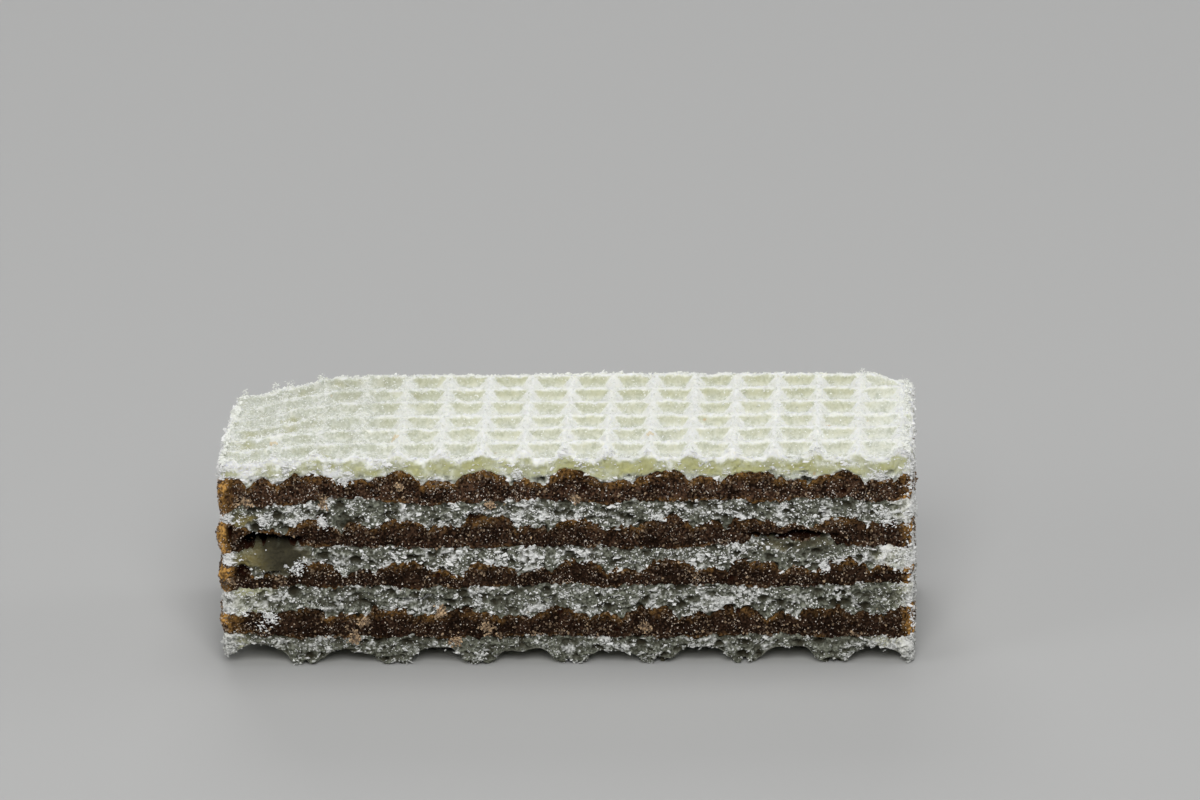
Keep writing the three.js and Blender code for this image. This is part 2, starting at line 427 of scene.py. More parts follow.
def settle(x, y, z):
    """A height after the left end has sunk: the top sinks by the cube of the height, most at the
    back, and the underside lifts by the fourth power of the depth below the top."""
    upward = np.clip(z / HEIGHT, 0, 1)
    sunk = 1 - step(x, -HALF[0], SINK_START_X)
    lifted = 1 - step(x, -HALF[0], LIFT_START_X)
    sink = FRONT_SINK + (BACK_SINK - FRONT_SINK) * step(y, -HALF[1], HALF[1])
    return z - sink * sunk * upward**3 + END_LIFT * lifted * (1 - upward) ** 4


def boundary(b, x, y):
    """Height of boundary b, counted from the underside up: an even one is the underside of a sheet
    with its pockets, an odd one the level upper face. All but the lowest have a slow wave."""
    chips = 0 if b else chipped_lands(x, y)
    x = np.clip(x, MARGIN - HALF[0], HALF[0] - MARGIN)
    y = np.clip(y, MARGIN - HALF[1], HALF[1] - MARGIN)
    k, upper = divmod(b, 2)
    phase = b * WAVE_PHASE_STEP
    wave = np.sin(2 * np.pi * x / WAVE_LENGTH + phase)
    wave = wave * np.cos(2 * np.pi * y / WAVE_LENGTH + 2 * phase)
    level = SHEETS[k]["top"] if upper else SHEETS[k]["land"] + pocket_height(k, x, y)
    return settle(x, y, level + (WAVE_HEIGHT * wave if b else chips))


middle = np.zeros(1)
middle_heights = [boundary(b, middle, middle).round(2).item() for b in range(2 * TOP_SHEET + 1)]
print("boundaries over the middle:", middle_heights)

# %% [markdown]
# ## The way round, and closing faces
# Each layer is one closed skin. A strip of many columns runs round the four cut sides, and a grid
# closes it below and above. The hidden faces need far fewer vertices than the cut, so their grid
# takes only every few columns, and the cells at the rim become polygons with more corners.

# %% The way round the wafer
CORNER_RADIUS = 0.45


class Outline:
    """The way round the plan, anticlockwise from the front left corner: four straight cuts joined
    by small arcs. On an arc the direction turns by 45 degrees from each side to the corner."""

    def __init__(self, long_columns, short_columns):
        self.counts = (long_columns, short_columns, long_columns, short_columns)
        self.starts = np.concatenate([[0], np.cumsum(self.counts)])
        self.size = int(self.starts[-1])
        sides = [self.cut(number) for number in range(4)]
        self.square, self.points, self.normals = (np.concatenate(part) for part in zip(*sides))

    def cut(self, number):
        """One side: its places on the plain rectangle, those on the rounded outline, and the ways
        out there. The rounded part is a circle's sine along the side and its cosine off it."""
        half, away = HALF[number % 2], HALF[(number + 1) % 2]
        angle = number * np.pi / 2
        along = np.array([np.cos(angle), np.sin(angle)])
        outward = np.array([np.sin(angle), -np.cos(angle)])
        place = np.linspace(-half, half, self.counts[number], endpoint=False)[:, None]
        straight = half - CORNER_RADIUS
        turned = np.clip(np.abs(place) - straight, 0, CORNER_RADIUS) / CORNER_RADIUS * np.pi / 4
        bent = np.sign(place) * (np.minimum(np.abs(place), straight) + CORNER_RADIUS * np.sin(turned))
        set_out = away - CORNER_RADIUS * (1 - np.cos(turned))
        normals = along * np.sign(place) * np.sin(turned) + outward * np.cos(turned)
        return along * place + outward * away, along * bent + outward * set_out, normals


coarse = Outline(12, 6)
print("a coarse outline has", coarse.size, "points, the first at", coarse.points[0].round(2))

# %% Grids that close a ring
FADE = 3.0


def near(distance):
    """A share that falls from 1 on a side to 0 at the fade's distance, as a square."""
    return np.clip(1 - distance / FADE, 0, 1) ** 2


def inner_places(outline, ring, every):
    """Places of a grid inside a ring. They lie on plain grid lines, moved as the ring is moved from
    the plain rectangle. The move fades with the distance, and is the sum of the four sides' moves
    less what the corners count twice."""
    moves = ring - outline.square
    columns, rows = (count // every for count in outline.counts[:2])
    xs = np.linspace(-HALF[0], HALF[0], columns + 1)[1:-1]
    ys = np.linspace(-HALF[1], HALF[1], rows + 1)[1:-1]
    front, right, back, left = (
        moves[outline.starts[n] + every * np.arange(1, (columns, rows)[n % 2])] for n in range(4)
    )
    corner = moves[outline.starts[:4]]
    near_front, near_back = (near(d)[:, None, None] for d in (ys + HALF[1], HALF[1] - ys))
    near_left, near_right = (near(d)[None, :, None] for d in (xs + HALF[0], HALF[0] - xs))
    moved = near_front * front[None] + near_back * back[None, ::-1]
    moved = moved + near_left * left[::-1, None] + near_right * right[:, None]
    moved -= near_front * (near_left * corner[0] + near_right * corner[1])
    moved -= near_back * (near_right * corner[2] + near_left * corner[3])
    return (np.stack(np.meshgrid(xs, ys), -1) + moved).reshape(-1, 2)


def closing_faces(outline, ring, first_inner, every, upward):
    """Polygons that close a ring with a grid of every so many columns. A rim cell takes in all the
    ring's vertices on its outer side, and a corner cell those on two sides."""
    columns, rows = (count // every for count in outline.counts[:2])
    inner = first_inner + np.arange((columns - 1) * (rows - 1)).reshape(rows - 1, columns - 1)
    cells = np.stack([inner[:-1, :-1], inner[:-1, 1:], inner[1:, 1:], inner[1:, :-1]], -1)
    polygons = [cells.reshape(-1, 4)]
    rims = (inner[0], inner[:, -1], inner[-1, ::-1], inner[::-1, 0])
    for start, rim in zip(outline.starts, rims):
        first = start + every * np.arange(1, len(rim))
        outer = ring[(first[:, None] + np.arange(every + 1)) % outline.size]
        polygons.append(np.column_stack([outer, rim[1:], rim[:-1]]))
        corner = ring[(start + np.arange(-every, every + 1)) % outline.size]
        polygons.append(np.append(corner, rim[0])[None])
    return polygons if upward else [polygon[:, ::-1] for polygon in polygons]


print("inside the coarse outline lie", len(inner_places(coarse, coarse.points, 2)), "places of a grid")

# %% [markdown]
# ## From arrays to a piece
# Blender takes whole arrays much faster than single vertices, so a piece is filled by foreach_set.
# Each piece also gets a map of its own, on which the strip and the faces lie side by side, because
# an automatic unwrap would cut such a rough skin into thousands of islands.

# %% Piece from arrays
# The map of a layer: its scale, the height of the strip, and the corners of the sides and the faces
MAP_PER_MM = 0.02
MAP_STRIP_HEIGHT = 0.07
MAP_SIDES = ((0.01, 0.01), (0.01, 0.17), (0.01, 0.09), (0.37, 0.17))
MAP_FACES = ((0.01, 0.26), (0.01, 0.62))


def make_piece(name, points, polygons, places, smooth, shares, material):
    """A mesh object at the origin: points in mm, arrays of polygons with the places of their
    corners on the map, whether each array is shaded smooth, and numbers for each vertex."""
    sides = np.concatenate([np.full(len(p), p.shape[1]) for p in polygons])
    starts = np.concatenate([[0], np.cumsum(sides)[:-1]])
    corners = np.concatenate([p.ravel() for p in polygons])
    mesh = bpy.data.meshes.new(name)
    mesh.vertices.add(len(points))
    mesh.vertices.foreach_set("co", (points * MM).astype(np.float32).ravel())
    mesh.loops.add(len(corners))
    mesh.loops.foreach_set("vertex_index", corners.astype(np.int32))
    mesh.polygons.add(len(sides))
    mesh.polygons.foreach_set("loop_start", starts.astype(np.int32))
    mesh.update(calc_edges=True)
    shading = np.concatenate([np.full(len(p), s) for p, s in zip(polygons, smooth)])
    mesh.polygons.foreach_set("use_smooth", shading)
    layout = mesh.uv_layers.new(name="OFBake")
    flat = np.concatenate([place.reshape(-1, 2) for place in places])
    layout.data.foreach_set("uv", flat.astype(np.float32).ravel())
    for share, values in shares.items():
        carried = mesh.attributes.new(share, "FLOAT", "POINT")
        carried.data.foreach_set("value", values.astype(np.float32))
    mesh.materials.append(material)
    piece = bpy.data.objects.new(name, mesh)
    bpy.context.scene.collection.objects.link(piece)
    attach(piece, "root")
    print(name, "has", int((sides - 2).sum()), "triangles")
    return piece


def strip_places(outline, rows):
    """Where the strip's cells lie on the map: the four sides unrolled, each in its own row."""
    side = np.repeat(np.arange(4), outline.counts)
    pitch = np.array([2 * HALF[n % 2] / outline.counts[n] for n in range(4)])[side] * MAP_PER_MM
    left = np.array(MAP_SIDES)[side, 0] + pitch * (np.arange(outline.size) - outline.starts[side])
    low = np.array(MAP_SIDES)[side, 1] + MAP_STRIP_HEIGHT / rows * np.arange(rows)[:, None]
    left = np.broadcast_to(left, low.shape)
    across = np.stack([left, left + pitch, left + pitch, left], -1)
    rise = MAP_STRIP_HEIGHT / rows
    return np.stack([across, np.stack([low, low, low + rise, low + rise], -1)], -1).reshape(-1, 4, 2)


def face_places(points, polygons, which):
    """Where a closing face lies on the map: its plan, drawn to scale."""
    return [np.array(MAP_FACES[which]) + MAP_PER_MM * (points[p][..., :2] + HALF) for p in polygons]


print("a layer's map is", round(1 / MAP_PER_MM), "mm wide and has", len(strip_places(coarse, 2)),
      "cells for a coarse strip of two rows")

# %% [markdown]
# ## One layer as a closed skin
# A sheet or a cream shows its cut all round, and its two faces are hidden or ribbed. A box with a
# displacement modifier could be roughened, but then nothing else would know where its relief is. So
# the strip is worked out as an array, from which the colours and later the flakes are placed too.

# %% One layer as a closed skin


class Layer:
    """A strip round the sides and two closing faces. low and high are the strip's edges, and skin
    says how far it stands out at each point, with the shares that its material reads there."""

    def __init__(self, outline, rows, low, high, skin):
        self.outline = outline
        self.rows = rows
        up = np.linspace(0, 1, rows + 1)[:, None]
        heights = low + (high - low) * up
        plan = np.broadcast_to(outline.points, heights.shape + (2,))
        base = np.concatenate([plan, heights[..., None]], -1)
        out, self.shares = skin(base, up, low, high)
        self.strip = base
        self.strip[..., :2] += outline.normals * out[..., None]

    def close(self, faces, every, face_shares):
        """Points, polygons, places and shares of the whole skin, closed by two height functions."""
        size = self.outline.size
        number = np.arange((self.rows + 1) * size).reshape(self.rows + 1, size)
        after = np.roll(number, -1, axis=1)
        cells = np.stack([number[:-1], after[:-1], after[1:], number[1:]], -1).reshape(-1, 4)
        points = [self.strip.reshape(-1, 3)]
        polygons, places, shares = [cells], [strip_places(self.outline, self.rows)], [self.shares]
        for which, ring in enumerate((number[0], number[-1])):
            plan = inner_places(self.outline, points[0][ring, :2], every[which])
            heights = faces[which](plan[:, 0], plan[:, 1])
            first = sum(len(part) for part in points)
            points.append(np.column_stack([plan, heights]))
            closing = closing_faces(self.outline, ring, first, every[which], which == 1)
            polygons += closing
            places += face_places(np.concatenate(points), closing, which)
            shares.append(face_shares[which](points[-1]))
        whole = {name: np.concatenate([part[name].ravel() for part in shares]) for name in shares[0]}
        return np.concatenate(points), polygons, places, whole

    def replace(self, name, ending, faces, every, face_shares, material, slot):
        """Makes the closed skin a piece in the place of the solid of that name. The cut keeps its
        sharp facets, and the closing faces are shaded smooth."""
        points, polygons, places, shares = self.close(faces, every, face_shares)
        smooth = [False] + [True] * (len(polygons) - 1)
        piece = make_piece(name + ending, points, polygons, places, smooth, shares, material)
        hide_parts(name)


def plain_skin(base, up, low, high):
    """A cut with no relief, to try a layer out."""
    return np.zeros(base.shape[:-1]), {}


trial_layer = Layer(coarse, 2, np.zeros(coarse.size), np.ones(coarse.size), plain_skin)
print("a coarse strip has", trial_layer.strip.shape[:2], "rows and columns of points")

# %% [markdown]
# ## Dough and cream finishes
# Baked dough is pale and dull. Torn walls are powdery white, painted shade makes the pores dark, dense
# crumb lets light through and turns yellow, and bare smooth dough is brown. A painted image could hold all
# this, but it would blur where the crumb is fine. So the meshes carry these shares, powder, painted shade,
# glow and bare, and the colour follows the shape. Cream is dark and grainy, and painted shade makes it
# darkest low in the stack. Painted shade makes its holes and dents darker still, and where the knife
# smeared it thin it is smooth and orange brown. Its meshes carry these shares as stack shade, painted shade
# and smear.

# %% Dough
CRUMB_COLOUR = (0.268, 0.278, 0.222, 1.0)
CRUST_COLOUR = (0.715, 0.735, 0.65, 1.0)
CRUMB_SHADE = (0.078, 0.082, 0.062, 1.0)
CRUST_SHADE = (0.585, 0.605, 0.51, 1.0)
POWDER_COLOUR = (0.925, 0.925, 0.91, 1.0)
TOP_POWDER_COLOUR = (0.925, 0.935, 0.885, 1.0)
DUSTY_COLOUR = (0.58, 0.59, 0.52, 1.0)
# The colour of the painted shade in pores, pits and over the smooth spots
PAINTED_SHADE_COLOUR = (0.046, 0.041, 0.026, 1.0)
GLOW_COLOUR = (0.51, 0.505, 0.25, 1.0)
TOASTED_COLOUR = (0.56, 0.40, 0.19, 1.0)
BARE_COLOUR = (0.26, 0.205, 0.065, 1.0)

# How far light goes into the crust, for red, green and blue, and how much of it does
CLEAR_RADIUS = (1.0, 0.97, 0.8)
CLEAR_DEPTH = 0.5
CRUST_CLEARNESS = 0.8

# Blobs of the grain, of the patches and of the toasted spots, the detail of fine noise, and the shine
DOUGH_GRAIN = 0.19
DOUGH_PATCH = 1.3
TOASTED_SPOT = 0.9
FINE_DETAIL = 3.0
DOUGH_SHINE = 0.06


def dough_finish(name, shade, plain, white, clearness):
    """Dough: its shade and its plain colour mixed by fine grain, then white powder, glow, bare dough and
    painted shade by the shares of the mesh, and a few toasted spots. The clearness is how much of the light
    goes in and comes out again."""
    dough = Finish(name)
    grain = dough.noise(DOUGH_GRAIN, FINE_DETAIL)
    patches = dough.noise(DOUGH_PATCH)
    powder = dough.between(dough.share("powder") + (grain - 0.5) * 0.9, 0.1, 0.9)
    toasted = dough.between(dough.noise(TOASTED_SPOT, 1.0), 0.78, 0.84)
    colour = dough.mix(dough.between(grain, 0.36, 0.64), shade, plain)
    colour = dough.mix(powder, colour, white)
    colour = dough.mix(dough.share("glow") * (0.75 + patches * 0.4), colour, GLOW_COLOUR)
    colour = dough.mix(dough.share("bare") * (0.6 + patches * 0.7), colour, BARE_COLOUR)
    # Painted shade, in the pores, on the pit walls and over the smooth spots
    colour = dough.mix(dough.share("painted_shade") * (0.7 + grain * 0.6), colour, PAINTED_SHADE_COLOUR)
    colour = dough.mix(toasted * 0.7, colour, TOASTED_COLOUR)
    return dough.set(
        Base_Color=colour,
        Roughness=0.72 + grain * 0.2,
        Specular_IOR_Level=DOUGH_SHINE,
        Normal=dough.bump(grain, 0.8, 0.08),
        Subsurface_Weight=clearness,
        Subsurface_Radius=CLEAR_RADIUS,
        Subsurface_Scale=CLEAR_DEPTH * MM,
    )


dough_material = dough_finish("dough", CRUMB_SHADE, CRUMB_COLOUR, POWDER_COLOUR, 0.0)
crust_material = dough_finish("crust", CRUST_SHADE, CRUST_COLOUR, TOP_POWDER_COLOUR, CRUST_CLEARNESS)
powder_material = dough_finish("powder", DUSTY_COLOUR, CRUST_COLOUR, TOP_POWDER_COLOUR, 0.0)
print("dough has", len(dough_material.node_tree.nodes), "nodes")

# %% Cream
CREAM_DARK = (0.0085, 0.0038, 0.0019, 1.0)
CREAM_BROWN = (0.126, 0.068, 0.040, 1.0)
CREAM_RUST = (0.185, 0.098, 0.030, 1.0)
CREAM_ORANGE = (0.57, 0.31, 0.085, 1.0)
# The painted shade in the cream's holes and dents, and the painted shadow in the deepest dents
CREAM_HOLLOW_SHADE = (0.022, 0.007, 0.0035, 1.0)
CREAM_GAP_SHADOW = (0.002, 0.0012, 0.0008, 1.0)
SUGAR_COLOUR = (0.62, 0.53, 0.44, 1.0)

# Blobs of the grain, of the patches and of the specks of sugar, and the shine
CREAM_GRAIN = 0.18
CREAM_PATCH = 1.1
SUGAR_SPECK = 0.11
CREAM_SHINE = 0.04


def cream_finish():
    """Cream: dark and brown grains, with painted shade that darkens the lower layers, rust and then orange
    where it is smeared thin, painted shade in its holes and dents, dark red and then near black, and specks
    of sugar."""
    cream = Finish("cream")
    grain = cream.noise(CREAM_GRAIN, FINE_DETAIL)
    patches = cream.noise(CREAM_PATCH)
    sugar = cream.between(cream.noise(SUGAR_SPECK, 0.0), 0.76, 0.86)
    smear = cream.share("smear")
    painted_shade = cream.share("painted_shade")
    brown = cream.between(grain * 0.8 + patches * 0.35, 0.47, 0.80)
    amber = smear * (0.35 + cream.between(grain, 0.35, 0.65) * 0.9)
    colour = cream.mix(brown, CREAM_DARK, CREAM_BROWN)
    # Painted shade, most in the low layers of the stack
    colour = cream.mix(cream.share("stack_shade") * 0.6, colour, CREAM_DARK)
    colour = cream.mix(cream.between(amber, 0.0, 0.40), colour, CREAM_RUST)
    colour = cream.mix(cream.between(amber, 0.35, 1.0), colour, CREAM_ORANGE)
    # Painted shade in the holes and dents: dark red, and near black where the front is pushed in furthest
    colour = cream.mix(cream.between(painted_shade, 0.05, 0.45), colour, CREAM_HOLLOW_SHADE)
    colour = cream.mix(cream.between(painted_shade, 0.50, 0.85), colour, CREAM_GAP_SHADOW)
    colour = cream.mix(sugar * 0.8, colour, SUGAR_COLOUR)
    return cream.set(
        Base_Color=colour,
        Roughness=0.62 - smear * 0.25,
        Specular_IOR_Level=CREAM_SHINE,
        Normal=cream.bump(grain, 0.6, 0.06),
    )


cream_material = cream_finish()
print("cream has", len(cream_material.node_tree.nodes), "nodes")

# %% [markdown]
# ## What happened to the front
# The long cut side is not even. Near the left end the fourth sheet has come away from the cream and
# a smooth lump of dough shows below the gap, and there are slits and holes elsewhere. They could be
# sculpted, but they are few, so each is named by its place and size, and pushes every layer's skin
# in or out there.

# %% Dents and lumps on the front
FRONT_BAND = 1.5

# Each mark: its middle along and up, its half width and half height, and how far it goes in, or
# out where that is negative
DENTS = (
    (-20.6, 9.46, 2.1, 0.40, 2.2),
    (-22.0, 9.48, 0.9, 0.38, 1.7),
    (-23.75, 10.05, 0.26, 0.60, 0.8),
    (-23.30, 9.60, 0.34, 0.42, -0.40),
    (-22.95, 7.20, 0.50, 0.50, 0.9),
    (-23.75, 13.15, 0.30, 0.50, 0.35),
    (-21.1, 6.90, 0.60, 0.16, 0.6),
    (15.9, 9.66, 3.0, 0.22, 1.6),
    (-10.3, 4.90, 1.9, 0.20, 0.6),
    (-6.45, 11.20, 0.5, 0.42, 0.7),
    (-8.40, 12.00, 0.45, 0.30, 0.6),
    (18.5, 11.70, 0.55, 0.90, 0.35),
)

# Bare smooth dough: its middle and half size along and up, how far it stands out, between which places
# along the wafer painted shade comes over it, growing towards the right, and how much of the crumb it hides
SMOOTH_SPOTS = (
    {"place": (-20.95, 8.12, 2.35, 1.15), "out": 0.30, "shade_x": (-23.0, -20.1), "share": 1.0},
    {"place": (-22.8, 10.95, 1.00, 0.42), "out": 0.05, "shade_x": (-22.4, -21.4), "share": 0.7},
    {"place": (16.3, 9.02, 2.90, 0.36), "out": 0.05, "shade_x": (14.0, 17.0), "share": 0.45},
)

# What makes the dents' edges ragged, frays the bare spots and lets their shade begin unevenly
RAGGED_DENTS = ((0.25, 0.7, 21),)
FRAYED_SPOTS = ((0.5, 0.5, 22),)
UNEVEN_SHADE = ((0.3, 1.1, 23),)


def mark(base, middle_x, middle_z, half_width, half_height):
    """1 inside a flat-topped oval on the front and 0 outside: exp of minus the fourth power of the
    distance from its middle, in half widths."""
    away = ((base[..., 0] - middle_x) / half_width) ** 2 + ((base[..., 2] - middle_z) / half_height) ** 2
    return np.exp(-(away**2)) * (base[..., 1] < FRONT_BAND - HALF[1])


def front_marks(base):
    """How far the front is pushed out at each point, the share of smooth dough, and the painted shade over
    it, which grows towards the right.
    """
    push, smooth, dark = np.zeros((3,) + base.shape[:-1])
    ragged = base + unevenness(base, RAGGED_DENTS)[..., None]
    for *place, depth in DENTS:
        push -= depth * mark(ragged, *place)
    frayed = base + unevenness(base, FRAYED_SPOTS)[..., None]
    for spot in SMOOTH_SPOTS:
        push += spot["out"] * mark(base, *spot["place"])
        here = spot["share"] * mark(frayed, *spot["place"])
        smooth = np.maximum(smooth, here)
        # Painted shade over the smooth dough, growing towards the right
        dark += here * step(base[..., 0] + unevenness(base, UNEVEN_SHADE), *spot["shade_x"])
    return push, smooth, dark


print(len(DENTS), "dents and", len(SMOOTH_SPOTS), "smooth spots lie on the front")

# %% [markdown]
# ## Cut edges of the layers
# Where sheet and cream meet, the cut shows no clean line: crumb has broken away, and the knife has
# dragged cream along. A texture could paint that, but up close the step is seen. So the strips end
# on ragged lines near the boundaries, and two neighbours overlap a little, so that no gap opens.

# %% Edges of the strips
OVERLAP = 0.1
TUCK = 0.30
EDGE_ROUND = 0.26
RAGGED_EDGE = ((0.20, 2.8, 33), (0.22, 0.8, 31), (0.16, 0.22, 32))

# The two ends are plainer than the front and the back: by how much, and how far from the corners
CORNER_FALL = 0.85
CORNER_REACH = (0.4, 1.6)

# Where the cream is dragged over the cut near the left end, and by how much it shifts each boundary
SMEAR_X = (-22.9, -24.4)
SMEAR_DRAG = (0, 0, 0.2, -0.2, 0.3, -0.55, 0.1, -0.75, 0)

# Where a boundary's cut edge is torn off its line on the front: its number, from and to, and shift
TORN = (
    (4, -22.6, -19.7, -0.30),
    (5, -22.4, -18.9, 0.35),
    (6, -20.6, -18.9, -0.45),
    (5, 12.9, 18.9, 0.62),
)
TORN_BLEND = 0.4


def corner_share(base):
    """1 on the front and the back, falling to less on the two ends, away from the corners."""
    inside = step(HALF[1] - np.abs(base[..., 1]), *CORNER_REACH)
    return 1 - CORNER_FALL * inside


def left_smear(x):
    """The share of cream dragged over the cut near the left end."""
    return step(-x, -SMEAR_X[0], -SMEAR_X[1])


def edge_line(b, outline):
    """Height of boundary b at the cut: the boundary, ragged by three sizes of noise, torn in places,
    and pushed into the sheets by the smeared cream near the left end."""
    x, y = outline.points.T
    rough = unevenness(flat_points(x, y, 10 * b), RAGGED_EDGE)
    if b == 0:
        return boundary(b, x, y) + np.maximum(rough, 0)
    for number, start, end, shift in TORN:
        torn = step(x, start - TORN_BLEND, start + TORN_BLEND) * (y < 0)
        torn = torn * step(-x, -end - TORN_BLEND, TORN_BLEND - end)
        rough = rough + (number == b) * shift * torn
    return boundary(b, x, y) + rough + SMEAR_DRAG[b] * left_smear(x)


def tucked(base, edge, depth):
    """How far the skin turns in near one of its edges: a quarter round of that depth."""
    close = np.clip(1 - np.abs(base[..., 2] - edge) / EDGE_ROUND, 0, 1)
    return depth * (1 - np.sqrt(1 - close**2))


trial_edge = edge_line(1, coarse)
print("the lowest cream starts between", trial_edge.min().round(2), "and", trial_edge.max().round(2), "mm")

# %% [markdown]
# ## Crumb
# Inside a baked sheet are bubbles, flattened because the plates were shut on the dough. A cut opens
# them at random depths. Cutting thousands of them out of a solid would be slow, so the skin is
# pushed in by two sizes of flat bubbles, and what stands between them are the thin white walls.

# %% Crumb relief
LARGE_BUBBLE = (0.95, 0.95, 0.55)
SMALL_BUBBLE = (0.38, 0.38, 0.25)
LARGE_DEPTH = 0.60
SMALL_DEPTH = 0.24
BUBBLE_RADIUS = 0.62
BUBBLE_RARITY = 1.3

# Blobs of the grain, of the flaky walls and of the clumps of powder
CRUMB_GRAIN = 0.18
CRUMB_WALL = (0.4, 0.4, 0.2)
CRUMB_CLUMP = (1.4, 1.4, 0.7)


def bubble_cut(points, size, seed):
    """The share that a bubble is cut away: one minus the squared distance from its middle, times a
    random number of its own, so that some bubbles are hardly opened."""
    away, own = bubbles(points, size, seed)
    return own**BUBBLE_RARITY * np.clip(1 - (away / BUBBLE_RADIUS) ** 2, 0, 1)


def crumb(base, seed):
    """How far the crumb stands out in mm, and its shares of powder and of painted shade."""
    large = bubble_cut(base, LARGE_BUBBLE, seed)
    small = bubble_cut(base, SMALL_BUBBLE, seed + 5)
    grain = spread(base, CRUMB_GRAIN, seed + 10)
    flaky = spread(base, CRUMB_WALL, seed + 11)
    clumps = spread(base, CRUMB_CLUMP, seed + 12)
    out = 0.10 * grain + 0.10 * flaky - LARGE_DEPTH * large - SMALL_DEPTH * small
    # Painted shade, darkest in the opened bubbles and less on the flaky walls and the grain
    painted_shade = np.clip(0.1 + 1.2 * large + 0.6 * small - 0.3 * flaky - 0.4 * grain, 0, 1)
    powder = np.clip(0.10 + 0.45 * flaky + 0.40 * grain + 0.55 * clumps - 0.8 * large, 0, 1)
    return out, powder, painted_shade


trial_crumb, *_ = crumb(trial_points, 100)
print("crumb stands out from", trial_crumb.min().round(2), "to", trial_crumb.max().round(2), "mm")

# %% The cut of a sheet
# The whiter ends of the four lower sheets: how far from the middle they start on the left and on the
# right, over which length they come in, what makes that uneven, and how white they get
LEFT_REACH = (22.4, 19.8, 22.4, 22.6)
LEFT_BLEND = (2.0, 4.0, 1.9, 1.8)
RIGHT_REACH = (21.2, 22.0, 21.2, 21.9)
RIGHT_BLEND = 2.4
END_WANDER = ((0.3, 1.3, 43), (0.15, 0.35, 44))
END_WHITE = (0.60, 0.42, 0.42, 0.42)

# Where a painted highlight makes the rims of the ends whiter and less yellow, and the blobs of the ends'
# yellow glow
RIM_HIGHLIGHT_X = (23.3, 24.2)
GLOW_PATCH = (1.1, 1.1, 0.8)

# How white each sheet is elsewhere, greyer on the lower sheets as painted shade, the slow swell of every
# cut, and the underside's rounded edge
SHEET_SHADED_WHITE = (0.60, 0.79, 0.90, 0.90, 1.0)
SLOW_SWELL = ((0.12, 2.5, 41),)
UNDERSIDE_TUCK = 0.1


def white_ends(k, base):
    """The share of the whiter, denser dough at the two ends of sheet k, in uneven spots."""
    x = base[..., 0] + unevenness(base, END_WANDER)
    right = step(x, RIGHT_REACH[k], RIGHT_REACH[k] + RIGHT_BLEND)
    left = step(-x, LEFT_REACH[k], LEFT_REACH[k] + LEFT_BLEND[k])
    return (right + left) * corner_share(base) * (0.5 + noise(base, 0.4, 45))


def sheet_skin(k):
    """The cut of sheet k: crumb all the way up, smooth on bare spots, whiter towards the ends. Painted
    shade darkens the pores, the bare spots and the powder of the lower sheets, and a painted highlight
    whitens the rims of the ends.
    """

    def skin(base, up, low, high):
        out, powder, painted_shade = crumb(base, 100 * (k + 1))
        push, smooth, dark = front_marks(base)
        ends = np.minimum(white_ends(k, base) * (1 - smooth), 1)
        # A painted highlight on the rims of the ends: more powder and less yellow glow there
        rims = step(np.abs(base[..., 0]), *RIM_HIGHLIGHT_X) * corner_share(base)
        out = out * (1 - 0.8 * smooth) + push + unevenness(base, SLOW_SWELL)
        out = out + 0.3 * ends * (push - out)
        out = out - tucked(base, low, TUCK if k else UNDERSIDE_TUCK) - tucked(base, high, TUCK)
        # Painted shade greys the powder of the lower sheets
        powder = SHEET_SHADED_WHITE[k] * powder * (1 - smooth) + END_WHITE[k] * ends + 0.15 * rims
        patch = step(noise(base, GLOW_PATCH, 42), 0.45, 0.75)
        glow = ends * (0.20 + 0.50 * patch) * (1 - 0.6 * rims)
        # Painted shade: in the pores, less on smooth dough and at the ends, and over the smooth dough,
        # where it also takes the place of some of the brown
        painted_shade = painted_shade * (1 - smooth) * (1 - 0.8 * ends) + 1 - (1 - dark) ** 1.6
        bare = smooth * (1 - 0.6 * dark)
        return out, {"powder": powder, "painted_shade": np.minimum(painted_shade, 1), "glow": glow, "bare": bare}

    return skin


def hidden_dough(points):
    """Shares on a face that lies against cream."""
    level = np.full(len(points), 0.4)
    return {"powder": level, "painted_shade": 0 * level, "glow": 0.5 * level, "bare": 0 * level}


trial_shares = sheet_skin(1)(trial_points, 0.5, 0.0, HEIGHT)[1]
print("the mean powder in a trial of sheet two is", trial_shares["powder"].mean().round(2))

# %% Sheets one to four
SHEET_COLUMNS = (560, 192)
SHEET_ROWS = 24
CLEAR = 0.05

# The hidden faces take every fourth column, and the underside, which shows, every second
HIDDEN_EVERY = 4
UNDERSIDE_EVERY = 2
cut_outline = Outline(*SHEET_COLUMNS)
sheet_strips = {}


def make_inner_sheet(k):
    """Sheet k in the place of its solid. Its faces stay clear of the cream's by twice the gap."""
    low = edge_line(2 * k, cut_outline) - (OVERLAP if k else 0)
    high = edge_line(2 * k + 1, cut_outline) + OVERLAP
    layer = Layer(cut_outline, SHEET_ROWS, low, high, sheet_skin(k))
    below = (lambda x, y: boundary(2 * k, x, y) + (CLEAR if k else 0))
    above = (lambda x, y: boundary(2 * k + 1, x, y) - CLEAR)
    every = (HIDDEN_EVERY if k else UNDERSIDE_EVERY, HIDDEN_EVERY)
    layer.replace(f"wafer_sheet_{k + 1}", "_crumb", (below, above), every,
                  (hidden_dough, hidden_dough), dough_material, "dough")
    sheet_strips[k] = layer


for k in range(TOP_SHEET):
    make_inner_sheet(k)

# %% [markdown]
# ## Cream
# The cream is dense, so its cut is only grainy: sugar and cocoa stand out by a tenth of a
# millimetre, with a few holes. At the left end the knife has dragged it into smooth bulging lips. A
# bumped flat face would do from afar, but the lips and grains show at the wafer's outline.

# %% The cut of the cream
CREAM_INSET = 0.05
LIP = 0.30

